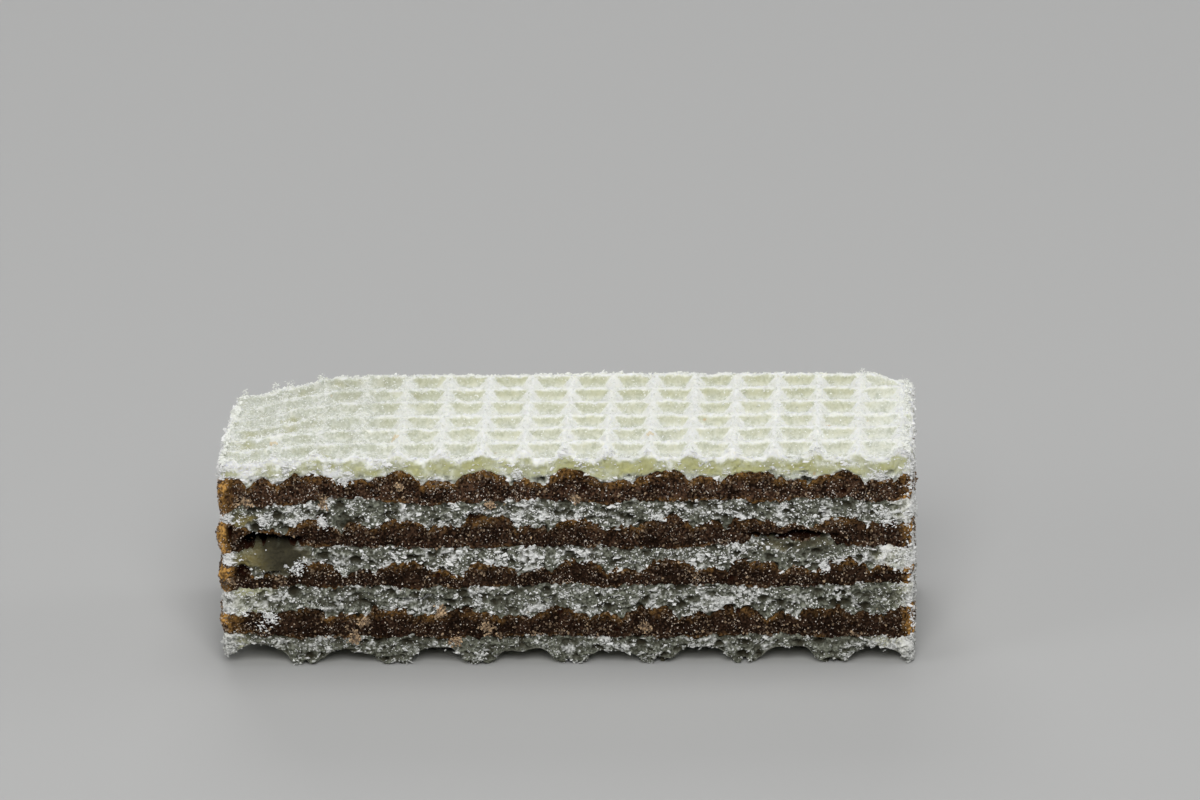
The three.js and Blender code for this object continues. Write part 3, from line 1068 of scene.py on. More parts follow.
# Blobs of the lumps, the grain and the fine grain, and the holes: their cells, how rare, how wide
CREAM_BLOBS = (0.9, 0.24, 0.11)
HOLE_CELL = 1.1
HOLE_RARITY = 0.72
HOLE_RADIUS = 0.28

# For each layer: amber along its edges, amber at its left end and where that starts, and how much painted
# shade darkens it and its sugar, most low in the stack
EDGE_AMBER = (0.34, 0.34, 0.34, 0.48)
LIP_AMBER = (0.82, 0.88, 0.95, 0.78)
LIP_START = (22.4, 23.3, 23.5, 22.8)
CREAM_STACK_SHADE = (1.0, 1.0, 0.6, 0.0)

# Where the amber of the left end is full, its narrow rim, and the rim on the right with its amber
LIP_FULL = 24.2
LIP_RIM = (23.8, 24.35)
RIGHT_RIM = (23.4, 24.3)
RIGHT_AMBER = 0.58


def amber_edges(up, lumps):
    """The share of smeared cream along the upper and the lower edge, most of it on the lumps."""
    upper = step(up, 0.50, 0.95) * (0.35 + 0.65 * step(lumps, -0.4, 0.5))
    return upper + 0.8 * (1 - step(up, 0.06, 0.24)) * step(lumps, -0.3, 0.5)


def amber_ends(k, x):
    """The share of smeared cream at the ends of layer k: a wide band and a narrow rim on the left,
    and a weaker rim on the right."""
    left = 0.45 * step(-x, LIP_START[k], LIP_FULL) + 0.55 * step(-x, *LIP_RIM)
    return LIP_AMBER[k] * left + RIGHT_AMBER * step(x, *RIGHT_RIM)


def cream_skin(k):
    """The cut of cream layer k: lumps, grains and a few holes, and smooth lips at the left end."""

    def skin(base, up, low, high):
        seed = 1000 + 100 * k
        lumps, grain, fine = (spread(base, size, seed + n) for n, size in enumerate(CREAM_BLOBS))
        away, own = bubbles(base, HOLE_CELL, seed + 3)
        holes = (own > HOLE_RARITY) * np.clip(1 - (away / HOLE_RADIUS) ** 2, 0, 1)
        push, *_ = front_marks(base)
        lip = left_smear(base[..., 0])
        rough = 0.10 * lumps + 0.14 * grain + 0.10 * fine - 0.3 * holes
        out = rough * (1 - 0.3 * lip) + push + unevenness(base, SLOW_SWELL) - CREAM_INSET
        out = out + LIP * lip * np.sin(np.pi * up)
        out = out - tucked(base, low, TUCK) - tucked(base, high, TUCK)
        uneven = 0.75 + 0.6 * grain + 0.5 * fine + 0.3 * lumps
        smear = EDGE_AMBER[k] * amber_edges(up, lumps) * (0.8 + 0.5 * grain)
        smear = np.clip(smear + amber_ends(k, base[..., 0]) * corner_share(base) * uneven, 0, 1)
        # Painted shade in the holes, and in the dents where the front is pushed in
        painted_shade = np.clip(0.5 * holes - 0.55 * push, 0, 1)
        # The layer's painted shade, the same all over it
        return out, {"smear": smear, "painted_shade": painted_shade, "stack_shade": np.full(smear.shape, CREAM_STACK_SHADE[k])}

    return skin


def hidden_cream(points):
    """Shares on a face that lies against a sheet."""
    level = np.full(len(points), 0.2)
    return {"smear": level, "painted_shade": 0 * level, "stack_shade": 0 * level}


trial_cream, _ = cream_skin(1)(trial_points, 0.5, 0.0, HEIGHT)
print("cream stands out from", trial_cream.min().round(2), "to", trial_cream.max().round(2), "mm")

# %% Cream layers
CREAM_ROWS = 18
cream_strips = {}


def make_cream(k):
    """Cream layer k in the place of its solid."""
    low = edge_line(2 * k + 1, cut_outline) - OVERLAP
    high = edge_line(2 * k + 2, cut_outline) + OVERLAP
    layer = Layer(cut_outline, CREAM_ROWS, low, high, cream_skin(k))
    below = (lambda x, y: boundary(2 * k + 1, x, y) + CLEAR)
    above = (lambda x, y: boundary(2 * k + 2, x, y) - CLEAR)
    layer.replace(f"cream_layer_{k + 1}", "_cut", (below, above), (HIDDEN_EVERY, HIDDEN_EVERY),
                  (hidden_cream, hidden_cream), cream_material, "cream")
    cream_strips[k] = layer


for k in range(TOP_SHEET):
    make_cream(k)

# %% [markdown]
# ## The ribbed top sheet
# The top sheet shows the baking plate's pattern: a square grid of narrow ribs round shallow pits,
# worn down towards the left end. Bars could be joined to a plate, but then no rib would be worn or
# meet the next softly. So its upper face is a full grid whose height is a formula of the plan. Its
# cut is denser than the others' and lets light through.

# %% Heights of the ribbed face
RIB_PITCH = 2.96

# Ribs across the wafer and ribs along it: their shift, and half their width at the foot and the crest
RIB_SHIFT = (0.03, -0.875)
RIB_HALF = (0.80, 0.66)
RIB_CREST = (0.08, 0.18)

# Wear towards the left end, and the crumbled corner at the back
WEAR_X = (-6.0, -21.0)
ROW_WEAR = 0.20
CROSS_WEAR = 0.55
MOST_WEAR = 0.9
PIT_FILL = 0.12
CRUMBLED_CORNER = (24.6, 8.6)
CRUMBLED_REACH = (0.3, 3.4)
CRUMBLED_DROP = 0.9

# How the crests are rubbed, the grain of the whole face, its slow swell, and more on the worn end
CREST_RUB = ((0.12, 0.9, 55), (0.08, 0.35, 56))
FACE_GRAIN = ((0.03, 0.35, 52), (0.05, 0.2, 53))
FACE_SWELL = ((0.05, 1.4, 54),)
WORN_GRAIN = ((0.07, 0.5, 57),)


def one_rib(u, way):
    """1 on the crests of one way's ribs, falling in a slope with soft ends to 0 on the pits' floors.
    Way 0 are the ribs across the wafer, way 1 those along it."""
    away = to_line(u, RIB_SHIFT[way], RIB_PITCH)
    slope = np.clip((RIB_HALF[way] - away) / (RIB_HALF[way] - RIB_CREST[way]), 0, 1)
    return 0.5 * slope + 0.5 * step(slope, 0, 1)


def rib_share(x, y):
    """The higher of both ways' ribs."""
    return np.maximum(one_rib(x, 0), one_rib(y, 1))


def crown(x, y):
    """Height of the upper face: ribs, which are worn down towards the left, those across the wafer
    more than those along it, pits partly filled there, fine grain, and a crumbled corner."""
    points = flat_points(x, y, 0)
    worn = step(-x, -WEAR_X[0], -WEAR_X[1]) * (0.35 + 1.3 * noise(points, 1.6, 51))
    across = one_rib(x, 0) * (1 - np.clip(CROSS_WEAR * worn, 0, MOST_WEAR))
    along = one_rib(y, 1) * (1 - np.clip(ROW_WEAR * worn, 0, MOST_WEAR))
    ribs = RIB_HEIGHT * np.maximum(across, along) * (0.94 + unevenness(points, CREST_RUB))
    floor = PIT_FILL * RIB_HEIGHT * worn * (1 - rib_share(x, y))
    grain = unevenness(points, FACE_GRAIN) * (1 + 0.8 * worn)
    grain = grain + unevenness(points, FACE_SWELL) + worn * unevenness(points, WORN_GRAIN)
    corner = np.hypot(x - CRUMBLED_CORNER[0], y - CRUMBLED_CORNER[1])
    drop = CRUMBLED_DROP * (1 - step(corner, *CRUMBLED_REACH))
    return settle(x, y, SHEETS[TOP_SHEET]["top"] + ribs + floor + grain - drop)


trial_crown = crown(*trial_points[:, :2].T)
print("the ribbed face lies between", trial_crown.min().round(2), "and", trial_crown.max().round(2), "mm")

# %% The cut of the top sheet
CHIP = 0.25
TOP_TUCK = 0.10
TOP_END_X = (22.5, 24.4)

# Relief of the dense dough, its yellow and white mottles, and where they turn whiter to the left
DENSE_RELIEF = ((0.13, 0.9, 61), (0.09, 0.35, 62), (0.06, 0.15, 63))
MOTTLES = ((0.8, (1.5, 1.5, 0.8), 68), (0.7, 0.5, 64), (0.5, 0.2, 67))
PALER_X = (2.0, 18.0)

# Noise in three lines: how high the crumb reaches, how low the powder, and how far down the ribs
CRUMB_LINE = ((0.35, 1.1, 65),)
POWDER_LINE = ((0.12, 0.4, 69),)
RIB_LINE = ((0.2, 0.6, 70),)


def top_skin(base, up, low, high):
    """The cut of the top sheet: crumb near the cream, then dense and smooth, powdery at its top."""
    over_land = base[..., 2] - SHEETS[TOP_SHEET]["land"]
    over_floor = base[..., 2] - settle(base[..., 0], base[..., 1], SHEETS[TOP_SHEET]["top"])
    crumbly = 1 - step(over_land + unevenness(base, CRUMB_LINE), 0.30, 0.90)
    out, powder, painted_shade = crumb(base, 600)
    out = out * (0.15 + 0.8 * crumbly) + unevenness(base, DENSE_RELIEF) + unevenness(base, SLOW_SWELL)
    out = out - tucked(base, low, TUCK) - tucked(base, high, TOP_TUCK)
    chipped = step(noise(base, (0.7, 0.7, 0.4), 66), 0.5, 0.8) * step(up, 0.5, 0.9)
    out = out - CHIP * chipped * (base[..., 1] > FRONT_BAND - HALF[1])
    ends = step(np.abs(base[..., 0]), *TOP_END_X)
    edge = step(up + unevenness(base, POWDER_LINE), 0.66, 0.96)
    rib = step(over_floor + unevenness(base, RIB_LINE), -0.05, 0.25)
    mottled = unevenness(base, MOTTLES) - 0.55 * step(-base[..., 0], *PALER_X)
    glow = (1 - crumbly) * (1 - edge) * np.clip(0.76 - 0.5 * ends - 0.7 * rib + 0.6 * mottled, 0, 1)
    powder = np.clip(powder * crumbly + edge + 0.5 * ends + 0.7 * rib - 0.7 * mottled, 0, 1)
    # The crumb's painted shade in its pores stays near the cream
    return out, {"powder": powder, "painted_shade": painted_shade * crumbly, "glow": glow, "bare": 0 * glow}


trial_relief, _ = top_skin(trial_points, 0.5, 0.0, HEIGHT)
print("the top's cut stands out from", trial_relief.min().round(2), "to", trial_relief.max().round(2), "mm")

# %% The top sheet
TOP_COLUMNS = (400, 140)
TOP_ROWS = 22

# The rubbed left end, the paler right end, and the rows from the front to the back, over which painted
# shade grows in the pits and on the rubbed end
RUBBED_X = (6.0, 20.0)
PALE_END_X = (19.5, 22.5)
PIT_SHADE_Y = (-6.0, 6.0)
SHADED_Y = (-6.0, 7.0)

# Dust on the whole face, and yellow patches of the rubbed end, which lie this far beside the ribs
DUST = ((1, 0.5, 71), (1, 0.2, 72))
YELLOW_PATCH = (1.0, 1.2, 1.0)
LEE = 0.8
top_outline = Outline(*TOP_COLUMNS)


def top_shares(points):
    """Powder on the crests and on the slopes of the ribs across, and yellow in the pits, which is painted
    glow and painted shade: most of it partway up the slopes of the ribs along, more of it towards the back,
    little at the right end, and on the rubbed left end only in patches, most of them beside the ribs
    across. Painted shade also greys the pits, and the rubbed end in patches and towards the back."""
    x, y, _ = points.T
    across, along = one_rib(x, 0), one_rib(y, 1)
    rubbed = step(-x, *RUBBED_X)
    dusty = unevenness(points, DUST)
    side = step(across - along, -0.15, 0.10) * step(across, 0.0, 0.06)
    white = np.maximum(step(along, 0.85, 1.0) * (1 - 0.1 * rubbed), side * (1 - 0.7 * rubbed))
    patch = step(noise(points, YELLOW_PATCH, 73), 0.45, 0.75)
    beside = one_rib(x - LEE, 0) * (1 - along)
    # Painted shade on the slopes of the ribs along: strongest partway up, less on the floors of the pits,
    # none on the crests
    wall = (0.45 + 0.55 * step(along, 0.10, 0.50)) * (1 - step(along, 0.80, 1.0))
    pits = (0.35 + 0.18 * step(y, *PIT_SHADE_Y)) * (1 - 0.6 * step(x, *PALE_END_X)) * wall
    rubbed_pits = 0.04 + (0.22 + 0.45 * beside) * patch
    glow = (pits + (rubbed_pits - pits) * rubbed) * (1 - white)
    glow = np.clip(glow + 0.10 * dusty * (1 - 0.6 * rubbed), 0, 1)
    powder = np.clip(0.5 + 0.35 * white - 0.32 * rubbed + 0.3 * dusty * (1 + 0.8 * rubbed), 0, 1)
    # Painted shade on the rubbed end, in its patches and dust, and growing towards the back
    shade = 0.08 * (patch + 0.5 * dusty) * (1 - white) + 0.07 * step(y, *SHADED_Y)
    painted_shade = np.clip(0.10 * (1 - white) * wall + rubbed * shade, 0, 1)
    return {"powder": powder, "painted_shade": painted_shade, "glow": glow, "bare": 0 * glow}


def make_top_sheet():
    """The top sheet in the place of its solid. Its strip ends on the ribbed face, also where the
    relief has moved it."""
    k = TOP_SHEET
    low = edge_line(2 * k, top_outline) - OVERLAP
    high = crown(*top_outline.points.T)
    layer = Layer(top_outline, TOP_ROWS, low, high, top_skin)
    layer.strip[-1, :, 2] = crown(*layer.strip[-1, :, :2].T)
    below = (lambda x, y: boundary(2 * k, x, y) + CLEAR)
    layer.replace(f"wafer_sheet_{k + 1}", "_ribbed", (below, crown), (HIDDEN_EVERY, 1),
                  (hidden_dough, top_shares), crust_material, "dough")
    sheet_strips[k] = layer


make_top_sheet()

# %% [markdown]
# ## Flakes, sugar and crumbs
# A broken edge is full of tiny loose things: flakes of bubble wall, crystals of sugar, crumbs. A
# particle system could strew them, but an export keeps only meshes. So each kind is one joined mesh
# of small stones, every one with six corners and eight faces, made for all of them at once as
# arrays. They sit on the skins that were just made.

# %% Many small stones as one mesh
# A stone has four corners round its rim, then an upper and a lower tip
RIM_TURNS = np.arange(4) * np.pi / 2
STONE_CORNERS = 6
STONE_FACES = np.array([(n, (n + 1) % 4, 4) for n in range(4)] + [((n + 1) % 4, n, 5) for n in range(4)])
STONE_MAP = np.array([(0, 0), (1, 0), (1, 1), (0, 1), (0.5, 0.5), (0.5, 0.5)])
MAP_GAP = 0.15


def unit(vectors):
    """Vectors of length 1 in the same directions."""
    return vectors / np.linalg.norm(vectors, axis=-1, keepdims=True)


def any_way(count, rng):
    """Random directions."""
    return unit(rng.normal(size=(count, 3)))


def stones(middles, thin, radius, thickness, rng, uneven=0.4):
    """Points of many stones: four rim points a quarter turn apart at uneven distances from the
    middle, square to the thin direction, and a tip on either side along it."""
    count = len(middles)
    first = unit(np.cross(thin, rng.normal(size=(count, 3))))
    second = np.cross(thin, first)
    turn = RIM_TURNS + rng.uniform(-0.5, 0.5, (count, 4))
    reach = radius[:, None] * rng.uniform(1 - uneven, 1 + uneven, (count, 4))
    rim = first[:, None] * (reach * np.cos(turn))[..., None]
    rim = rim + second[:, None] * (reach * np.sin(turn))[..., None]
    tips = np.array([1, -1])[:, None] * thin[:, None] * thickness[:, None, None]
    tips = tips + rng.uniform(-0.3, 0.3, (count, 2, 3)) * thickness[:, None, None]
    return (middles[:, None] + np.concatenate([rim, tips], 1)).reshape(-1, 3)


def drawn_out(points, middles, along, factors):
    """Stones made longer in one direction: the part of every offset along it, times a factor."""
    corners = points.reshape(-1, STONE_CORNERS, 3)
    offsets = ((corners - middles[:, None]) * along[:, None]).sum(-1)
    extra = offsets * (factors[:, None] - 1)
    return (corners + extra[..., None] * along[:, None]).reshape(-1, 3)


def stone_places(count):
    """Where the stones lie on the map: two small squares each, for the upper and the lower half."""
    across = math.ceil(math.sqrt(2 * count))
    cell = np.arange(2 * count).reshape(count, 2, 1, 1)
    corner = np.concatenate([cell % across, cell // across], -1)
    half = STONE_FACES.reshape(2, 4, 3)
    shape = MAP_GAP + (1 - 2 * MAP_GAP) * STONE_MAP[half].reshape(2, 12, 2)
    return ((corner + shape[None]) / across).reshape(-1, 3, 2)


def make_stones(name, points, shares, material):
    """One piece from all the stones of a kind. The shares are given for each stone."""
    count = len(points) // STONE_CORNERS
    faces = (STONE_FACES[None] + STONE_CORNERS * np.arange(count)[:, None, None]).reshape(-1, 3)
    every = {share: np.repeat(values, STONE_CORNERS) for share, values in shares.items()}
    return make_piece(name, points, [faces], [stone_places(count)], [False], every, material)


print("a stone has", len(STONE_FACES), "faces, and a thousand have", len(stone_places(1000)), "on the map")

# %% Spots for stones
LOBES = 4
LOBE_SPREAD = 0.45
SPOT_SPREAD = 0.40
HEAP_OUT = 0.12
HEAP_FLATNESS = 0.45


def drawn_between(rng, sizes, count):
    """Random sizes, most of them near the smaller end."""
    return sizes[0] + (sizes[1] - sizes[0]) * rng.random(count) ** 2


def strip_spots(layer, weights, count, rng):
    """Random spots on a layer's strip and the way out there: cells drawn by weight, then a random
    place inside each cell between its four corners."""
    drawn = rng.choice(weights.size, count, p=weights.ravel() / weights.sum())
    row, column = np.unravel_index(drawn, weights.shape)
    after = (column + 1) % layer.outline.size
    along, up = rng.random((2, count, 1))
    low = layer.strip[row, column] * (1 - along) + layer.strip[row, after] * along
    high = layer.strip[row + 1, column] * (1 - along) + layer.strip[row + 1, after] * along
    outward = np.column_stack([layer.outline.normals[column], np.zeros(count)])
    return low * (1 - up) + high * up, outward


def heap_spots(middles, radii, per_heap, rng):
    """Spots in uneven heaps: each heap is a few lobes round its middle, and each spot is drawn round
    one of the lobes."""
    count = len(middles)
    lobes = middles[:, None] + rng.normal(size=(count, LOBES, 3)) * radii[:, None, None] * LOBE_SPREAD
    which = rng.integers(LOBES, size=(count, per_heap))
    around = rng.normal(size=(count, per_heap, 3)) * radii[:, None, None] * SPOT_SPREAD
    return (np.take_along_axis(lobes, which[..., None], 1) + around).reshape(-1, 3)


def clump_spots(clumps, per_clump, rng):
    """Spots in flattened heaps on the front, and the way out there."""
    x, z, radii = np.array(clumps).T
    middles = np.column_stack([x, np.full(len(x), -HALF[1] - HEAP_OUT), z])
    spots = heap_spots(middles, radii, per_clump, rng)
    spots[:, 1] = HEAP_FLATNESS * np.minimum(spots[:, 1] + HALF[1], 0) - HALF[1]
    return spots, np.tile((0.0, -1.0, 0.0), (len(spots), 1))


def joined(spots):
    """The places and the ways out of several lots of spots, as two arrays."""
    places, outward = (np.concatenate(part) for part in zip(*spots))
    return places, outward


trial_spots, _ = clump_spots([(0.0, 8.0, 0.5)], 100, np.random.default_rng(3))
print("a trial clump stands out by up to", (-HALF[1] - trial_spots[:, 1].min()).round(2), "mm")

# %% Flakes of the bubble walls
FLAKES_PER_SHEET = (3400, 4500, 4400, 4700, 3000)
FLAKE_SIZE = (0.05, 0.165)
FLAKE_STRETCH = (1.0, 2.4)
FLAKE_THICKNESS = (0.014, 0.05)
FLAKE_TILT = (0.55, 0.55, 0.9)
FLAKE_OUT = (-0.02, 0.10)
FLAKE_SPILL = 0.10
UPWARD = (0.0, 0.0, 1.0)

# White clumps of flakes on the front: their middles along and up, and their radius
CLUMPS = (
    (-21.37, 10.85, 0.45), (-15.61, 13.98, 0.40), (-3.33, 14.29, 0.35), (22.29, 14.15, 0.50),
    (22.61, 10.78, 0.60), (18.11, 7.27, 0.45), (-21.2, 3.61, 0.50), (-17.32, 10.76, 0.35),
    (-19.25, 7.60, 0.60),
)
FLAKES_PER_CLUMP = 150
CLUMP_FINENESS = 0.6

# Dust on the upright corner at the right of the front: flakes on each cream, and where it lies
CORNER_DUST = 80
CORNER_DUST_X = 24.35
CORNER_DUST_HALF = 0.16


def flake_weights(layer, seed):
    """Flakes gather in clumps of two sizes where the crumb stands out, and along its lower edge,
    and leave its pores free."""
    base = layer.strip[:-1]
    gathered = np.exp(3.0 * spread(base, (0.9, 0.9, 0.6), seed) + 2.0 * spread(base, 0.35, seed + 1))
    lower = np.exp(-np.arange(layer.rows) / (0.12 * layer.rows))[:, None]
    clear = (1 - layer.shares["painted_shade"][:-1]) ** 2 * (1 - layer.shares["bare"][:-1])
    clear = clear * (1 - 0.3 * layer.shares["glow"][:-1])
    ends = 1 + step(np.abs(base[..., 0]), 22.5, 24.2)
    return clear * ends * (0.6 + 0.8 * layer.shares["powder"][:-1]) * (gathered + 3 * lower)


def corner_weights(layer):
    """Weights of the cells of a layer along the upright corner at the right of the front."""
    x, y, _ = np.moveaxis(layer.strip[:-1], -1, 0)
    return np.exp(-(((x - CORNER_DUST_X) / CORNER_DUST_HALF) ** 2)) * (y < FRONT_BAND - HALF[1])


def flake_spots(rng):
    """Spots of all the flakes, on the sheets, in the clumps and on the corner of the creams, and how white
    the flakes are there, greyer on the lower sheets as painted shade."""
    spots = [strip_spots(sheet_strips[k], flake_weights(sheet_strips[k], 81 + 2 * k), count, rng)
             for k, count in enumerate(FLAKES_PER_SHEET)]
    spots.append(clump_spots(CLUMPS, FLAKES_PER_CLUMP, rng))
    for layer in cream_strips.values():
        spots.append(strip_spots(layer, corner_weights(layer), CORNER_DUST, rng))
    shaded_whiteness = np.append(SHEET_SHADED_WHITE, np.ones(1 + len(cream_strips)))
    return *joined(spots), np.repeat(shaded_whiteness, [len(places) for places, _ in spots])


def scatter_flakes():
    """Flakes on the crumb, in clumps on the front, and as dust on the corner of the cream. They lie
    drawn out sideways, as the walls of flat bubbles do."""
    rng = np.random.default_rng(7)
    places, outward, shaded_whiteness = flake_spots(rng)
    count = len(places)
    thin = unit(0.3 * outward + rng.normal(size=(count, 3)) * FLAKE_TILT)
    middles = places + outward * rng.uniform(*FLAKE_OUT, (count, 1))
    middles[:, 2] += FLAKE_SPILL * rng.normal(size=count)
    radius = drawn_between(rng, FLAKE_SIZE, count)
    first_in_clumps = sum(FLAKES_PER_SHEET)
    radius[first_in_clumps:first_in_clumps + len(CLUMPS) * FLAKES_PER_CLUMP] *= CLUMP_FINENESS
    middles[:, 2] = np.maximum(middles[:, 2], radius)
    points = stones(middles, thin, radius, rng.uniform(*FLAKE_THICKNESS, count), rng)
    sideways = unit(np.cross(outward, UPWARD) + 0.25 * rng.normal(size=(count, 3)))
    points = drawn_out(points, middles, sideways, rng.uniform(*FLAKE_STRETCH, count))
    points[:, 2] = np.maximum(points[:, 2], 0)
    # Painted shade greys the flakes on the lower sheets
    powder = shaded_whiteness * rng.uniform(0.6, 1.0, count)
    make_stones("wafer_flakes", points, {"powder": powder}, dough_material)


scatter_flakes()

# %% Finer sparkles between the flakes
SPARKLES_PER_SHEET = (3300, 4200, 4400, 4400, 3000)
SPARKLE_SIZE = (0.035, 0.10)
SPARKLE_OUT = (0.0, 0.08)


def scatter_sparkles():
    """Small bright splinters between the flakes, where there is little painted shade."""
    rng = np.random.default_rng(17)
    spots = []
    for k, layer in sheet_strips.items():
        powder, painted_shade, glow, bare = (layer.shares[name][:-1] for name in ("powder", "painted_shade", "glow", "bare"))
        gathered = np.exp(1.5 * spread(layer.strip[:-1], 0.6, 101 + k))
        weights = gathered * (1.05 - painted_shade) * (0.7 + 0.6 * powder) * (1 - 0.9 * bare) * (1 - 0.9 * glow)
        spots.append(strip_spots(layer, weights, SPARKLES_PER_SHEET[k], rng))
    places, outward = joined(spots)
    count = len(places)
    middles = places + outward * rng.uniform(*SPARKLE_OUT, (count, 1))
    radius = drawn_between(rng, SPARKLE_SIZE, count)
    points = stones(middles, any_way(count, rng), radius, radius * 0.6, rng)
    points[:, 2] = np.maximum(points[:, 2], 0)
    # Painted shade greys the splinters on the lower sheets
    shaded_whiteness = np.repeat(SHEET_SHADED_WHITE, SPARKLES_PER_SHEET)
    make_stones("wafer_sparkles", points, {"powder": shaded_whiteness}, dough_material)


scatter_sparkles()

# %% [markdown]
# ## Sugar and cocoa in the cream
# The cream is stirred from sugar, cocoa and fat, and its cut glitters with crystals among brown
# grains. Specks in the material alone would lie flat in it, so both kinds are stones too, each with
# a tint of its own between a pale and a dark colour. Larger light brown crumbs are heaps of grains.

# %% Sugar in the cream
SUGAR_PER_CREAM = (2300, 2300, 2300, 3300)
SUGAR_SIZE = (0.025, 0.075)
SUGAR_OUT = (0.02, 0.08)
SUGAR_PALE = (0.80, 0.77, 0.72, 1.0)
SUGAR_BROWN = (0.54, 0.41, 0.29, 1.0)
SUGAR_ROUGHNESS = 0.35


def grain_finish(name, pale, dark, roughness):
    """Grains between two colours, by the tint that each one carries."""
    grains = Finish(name)
    return grains.set(Base_Color=grains.mix(grains.share("tint"), pale, dark), Roughness=roughness)


def cream_spots(counts, seed, rng):
    """Spots on all the cream layers, gathered in clumps, with few on the smears and in the hollows."""
    spots = []
    for k, layer in cream_strips.items():
        base = layer.strip[:-1]
        gathered = np.exp(1.6 * spread(base, 0.7, seed + k))
        lips = 1.5 * left_smear(base[..., 0])
        weights = gathered * (1.0 - 0.85 * layer.shares["smear"][:-1] + lips)
        weights = weights * (1.0 - 0.95 * layer.shares["painted_shade"][:-1])
        spots.append(strip_spots(layer, weights, counts[k], rng))
    return spots


def scatter_sugar():
    """Crystals in the cream, browner in the lips, and browner low in the stack as painted shade."""
    rng = np.random.default_rng(8)
    places, outward = joined(cream_spots(SUGAR_PER_CREAM, 91, rng))
    count = len(places)
    radius = drawn_between(rng, SUGAR_SIZE, count)
    middles = places + outward * rng.uniform(*SUGAR_OUT, (count, 1))
    points = stones(middles, any_way(count, rng), radius, radius * 0.8, rng)
    # Painted shade browns the sugar low in the stack
    browner = 0.25 * np.repeat(CREAM_STACK_SHADE, SUGAR_PER_CREAM) + 0.5 * left_smear(middles[:, 0])
    tint = np.clip(rng.random(count) + browner, 0, 1)
    finish = grain_finish("sugar", SUGAR_PALE, SUGAR_BROWN, SUGAR_ROUGHNESS)
    make_stones("cream_sugar", points, {"tint": tint}, finish)


scatter_sugar()

# %% Grains and crumbs in the cream
GRAINS_PER_CREAM = (3000, 3000, 3000, 3000)
GRAIN_SIZE = (0.05, 0.14)
GRAIN_OUT = (-0.02, 0.06)
COCOA_PALE = (0.78, 0.56, 0.34, 1.0)
COCOA_DARK = (0.034, 0.016, 0.007, 1.0)
COCOA_ROUGHNESS = 0.6

# Light brown crumbs on the front: their middles along and up, and their radius
CREAM_CRUMBS = (
    (-22.75, 12.36, 0.42), (-15.18, 2.30, 0.45), (-5.77, 2.63, 0.40), (5.48, 2.80, 0.42),
    (-14.44, 3.28, 0.35), (-8.06, 1.88, 0.40), (-17.07, 12.26, 0.34), (-8.80, 4.08, 0.40),
    (-11.86, 13.43, 0.30), (0.53, 12.39, 0.34), (-5.36, 12.05, 0.32), (-23.9, 6.70, 0.34),
)
GRAINS_PER_CRUMB = 150
CRUMB_GRAIN_SIZE = (0.04, 0.12)


def scatter_grains():
    """Rounded grains all over the cream, most of them dark, and light crumbs on the front."""
    rng = np.random.default_rng(18)
    spots = cream_spots(GRAINS_PER_CREAM, 95, rng)
    spots.append(clump_spots(CREAM_CRUMBS, GRAINS_PER_CRUMB, rng))
    places, outward = joined(spots)
    count = len(places)
    loose = np.arange(count) < sum(GRAINS_PER_CREAM)
    radius = np.where(loose, drawn_between(rng, GRAIN_SIZE, count),
                      drawn_between(rng, CRUMB_GRAIN_SIZE, count))
    middles = places + outward * rng.uniform(*GRAIN_OUT, (count, 1))
    points = stones(middles, any_way(count, rng), radius, radius * 0.9, rng, 0.2)
    tint = np.where(loose, rng.random(count) ** 0.18, rng.random(count) ** 0.8)
    finish = grain_finish("cocoa", COCOA_PALE, COCOA_DARK, COCOA_ROUGHNESS)
    make_stones("cream_grains", points, {"tint": tint}, finish)


scatter_grains()

# %% [markdown]
# ## Powder and specks on the top
# The crests of the ribs are rubbed to a white powder, larger flakes hang round the rim, and a few
# tufts stand up from the far edge. A white colour alone would leave the outline too smooth, so they
# are stones as well. A few toasted specks, which the plate has browned, lie on the ribs.

# %% Powder on the ribs
POWDER_GRAINS = 19000
POWDER_SIZE = (0.03, 0.11)
POWDER_INSET = 0.15
DRAWN_PER_GRAIN = 6
RIM_FLAKES = 3500
RIM_FLAKE_SIZE = (0.05, 0.20)
RIM_INWARD = 0.012

# Tufts that stand up from the far edge: their places in the plan and their radius
TUFTS = (
    (-23.6, 8.30, 0.30), (-21.5, 8.35, 0.36), (-20.3, 8.40, 0.28), (-18.2, 8.40, 0.24),
    (-15.0, 8.40, 0.22), (-24.3, 4.6, 0.26), (21.0, 8.30, 0.26), (23.9, 7.2, 0.30),
)
FLAKES_PER_TUFT = 60


def rib_plan(rng):
    """Places in the plan for fine powder: drawn all over, kept where a rib or the worn end is."""
    drawn = rng.uniform(-1, 1, (2, DRAWN_PER_GRAIN * POWDER_GRAINS)) * (HALF[:, None] - POWDER_INSET)
    x, y = drawn
    chance = 0.25 + 0.65 * rib_share(x, y) ** 2 + 0.4 * step(-x, 8.0, 22.0)
    kept = np.flatnonzero(rng.random(len(x)) < chance)[:POWDER_GRAINS]
    return drawn[:, kept]


def rim_plan(rng):
    """Places in the plan for flakes round the rim of the top, most of them at the two ends."""
    top = sheet_strips[TOP_SHEET].strip[-1]
    chance = 0.15 + 0.6 * step(-top[:, 0], 10.0, 24.0) + step(top[:, 0], 20.0, 24.4)
    chance = chance * np.exp(2.5 * spread(top, 0.9, 99))
    rim = top[rng.choice(len(top), RIM_FLAKES, p=chance / chance.sum()), :2]
    return (rim * (1 - RIM_INWARD * rng.random((RIM_FLAKES, 1)))).T


def tuft_spots(rng):
    """Spots in heaps that stand on the far edge of the top."""
    x, y, radii = np.array(TUFTS).T
    feet = np.column_stack([x, y, crown(x, y) + 0.5 * radii])
    return heap_spots(feet, radii, FLAKES_PER_TUFT, rng)


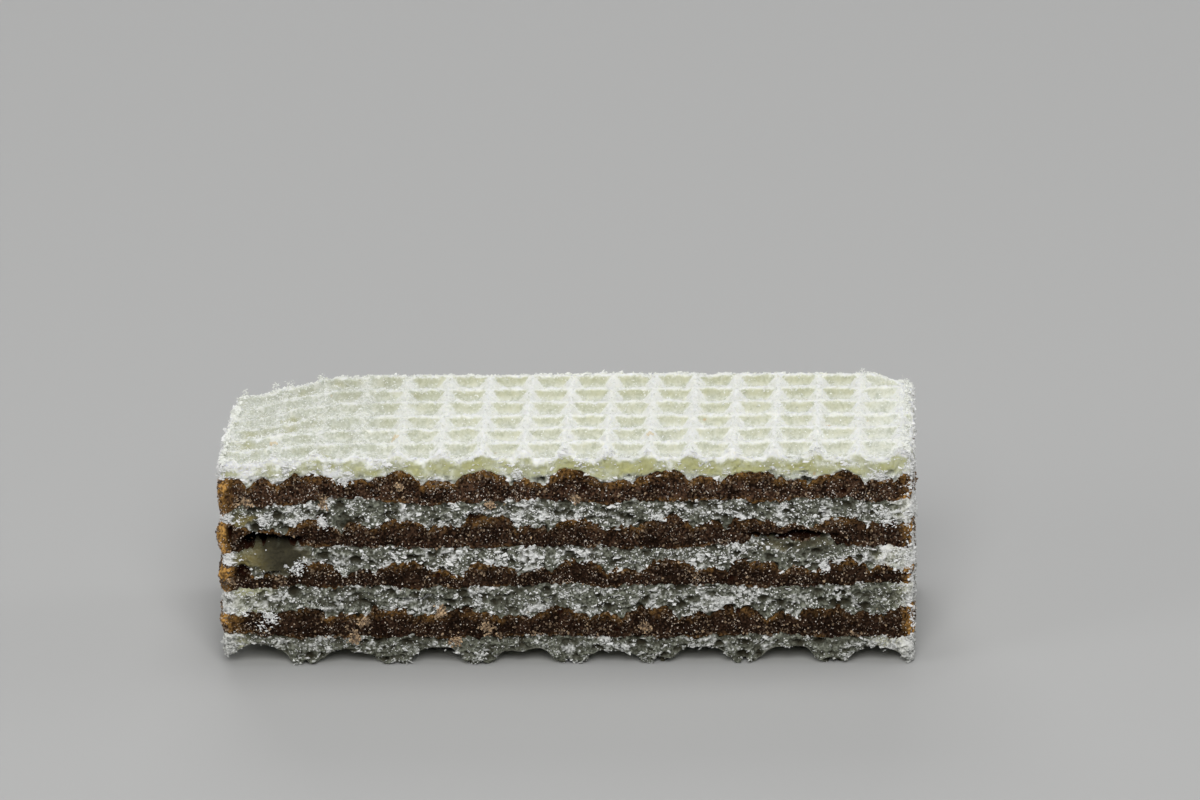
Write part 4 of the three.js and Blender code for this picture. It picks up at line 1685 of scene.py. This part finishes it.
def scatter_powder():
    """Fine flakes on the ribs, larger ones round the rim of the top, and tufts at its far edge."""
    rng = np.random.default_rng(9)
    fine, rim = rib_plan(rng), rim_plan(rng)
    x, y = np.concatenate([fine, rim], 1)
    radius = np.concatenate([drawn_between(rng, POWDER_SIZE, fine.shape[1]),
                             drawn_between(rng, RIM_FLAKE_SIZE, RIM_FLAKES)])
    middles = np.column_stack([x, y, crown(x, y) + 0.2 * radius])
    middles = np.concatenate([middles, tuft_spots(rng)])
    count = len(middles)
    radius = np.append(radius, drawn_between(rng, POWDER_SIZE, count - len(radius)))
    thin = unit(rng.normal(size=(count, 3)) * 0.6 + UPWARD)
    points = stones(middles, thin, radius, radius * 0.5, rng)
    make_stones("top_powder", points, {"powder": rng.uniform(0.5, 1.0, count)}, powder_material)


scatter_powder()

# %% Toasted specks on the top
# Each speck: its middle in the plan, and its radius
TOP_SPECKS = ((-20.8, -5.05, 0.34), (-12.25, -5.05, 0.32), (5.98, -5.05, 0.20), (18.6, -1.9, 0.16))
STONES_PER_SPECK = 26
SPECK_STONE_SIZE = (0.07, 0.16)
SPECK_LEAN = (0.0, -0.75, 0.65)
SPECK_OUT = 0.05
TOASTED_PALE = (0.80, 0.73, 0.57, 1.0)
TOASTED_DARK = (0.62, 0.52, 0.34, 1.0)
TOASTED_ROUGHNESS = 0.7


def scatter_specks():
    """Flat toasted flakes in small heaps, lying on the sides of the ribs that face the front."""
    rng = np.random.default_rng(19)
    x, y, radii = np.array(TOP_SPECKS).T
    middles = heap_spots(np.column_stack([x, y, 0 * x]), radii, STONES_PER_SPECK, rng)
    middles[:, 2] = crown(middles[:, 0], middles[:, 1])
    middles += SPECK_OUT * np.array(SPECK_LEAN)
    count = len(middles)
    thin = unit(SPECK_LEAN + 0.3 * rng.normal(size=(count, 3)))
    radius = drawn_between(rng, SPECK_STONE_SIZE, count)
    points = stones(middles, thin, radius, radius * 0.4, rng)
    finish = grain_finish("toasted", TOASTED_PALE, TOASTED_DARK, TOASTED_ROUGHNESS)
    make_stones("top_specks", points, {"tint": rng.random(count)}, finish)


scatter_specks()
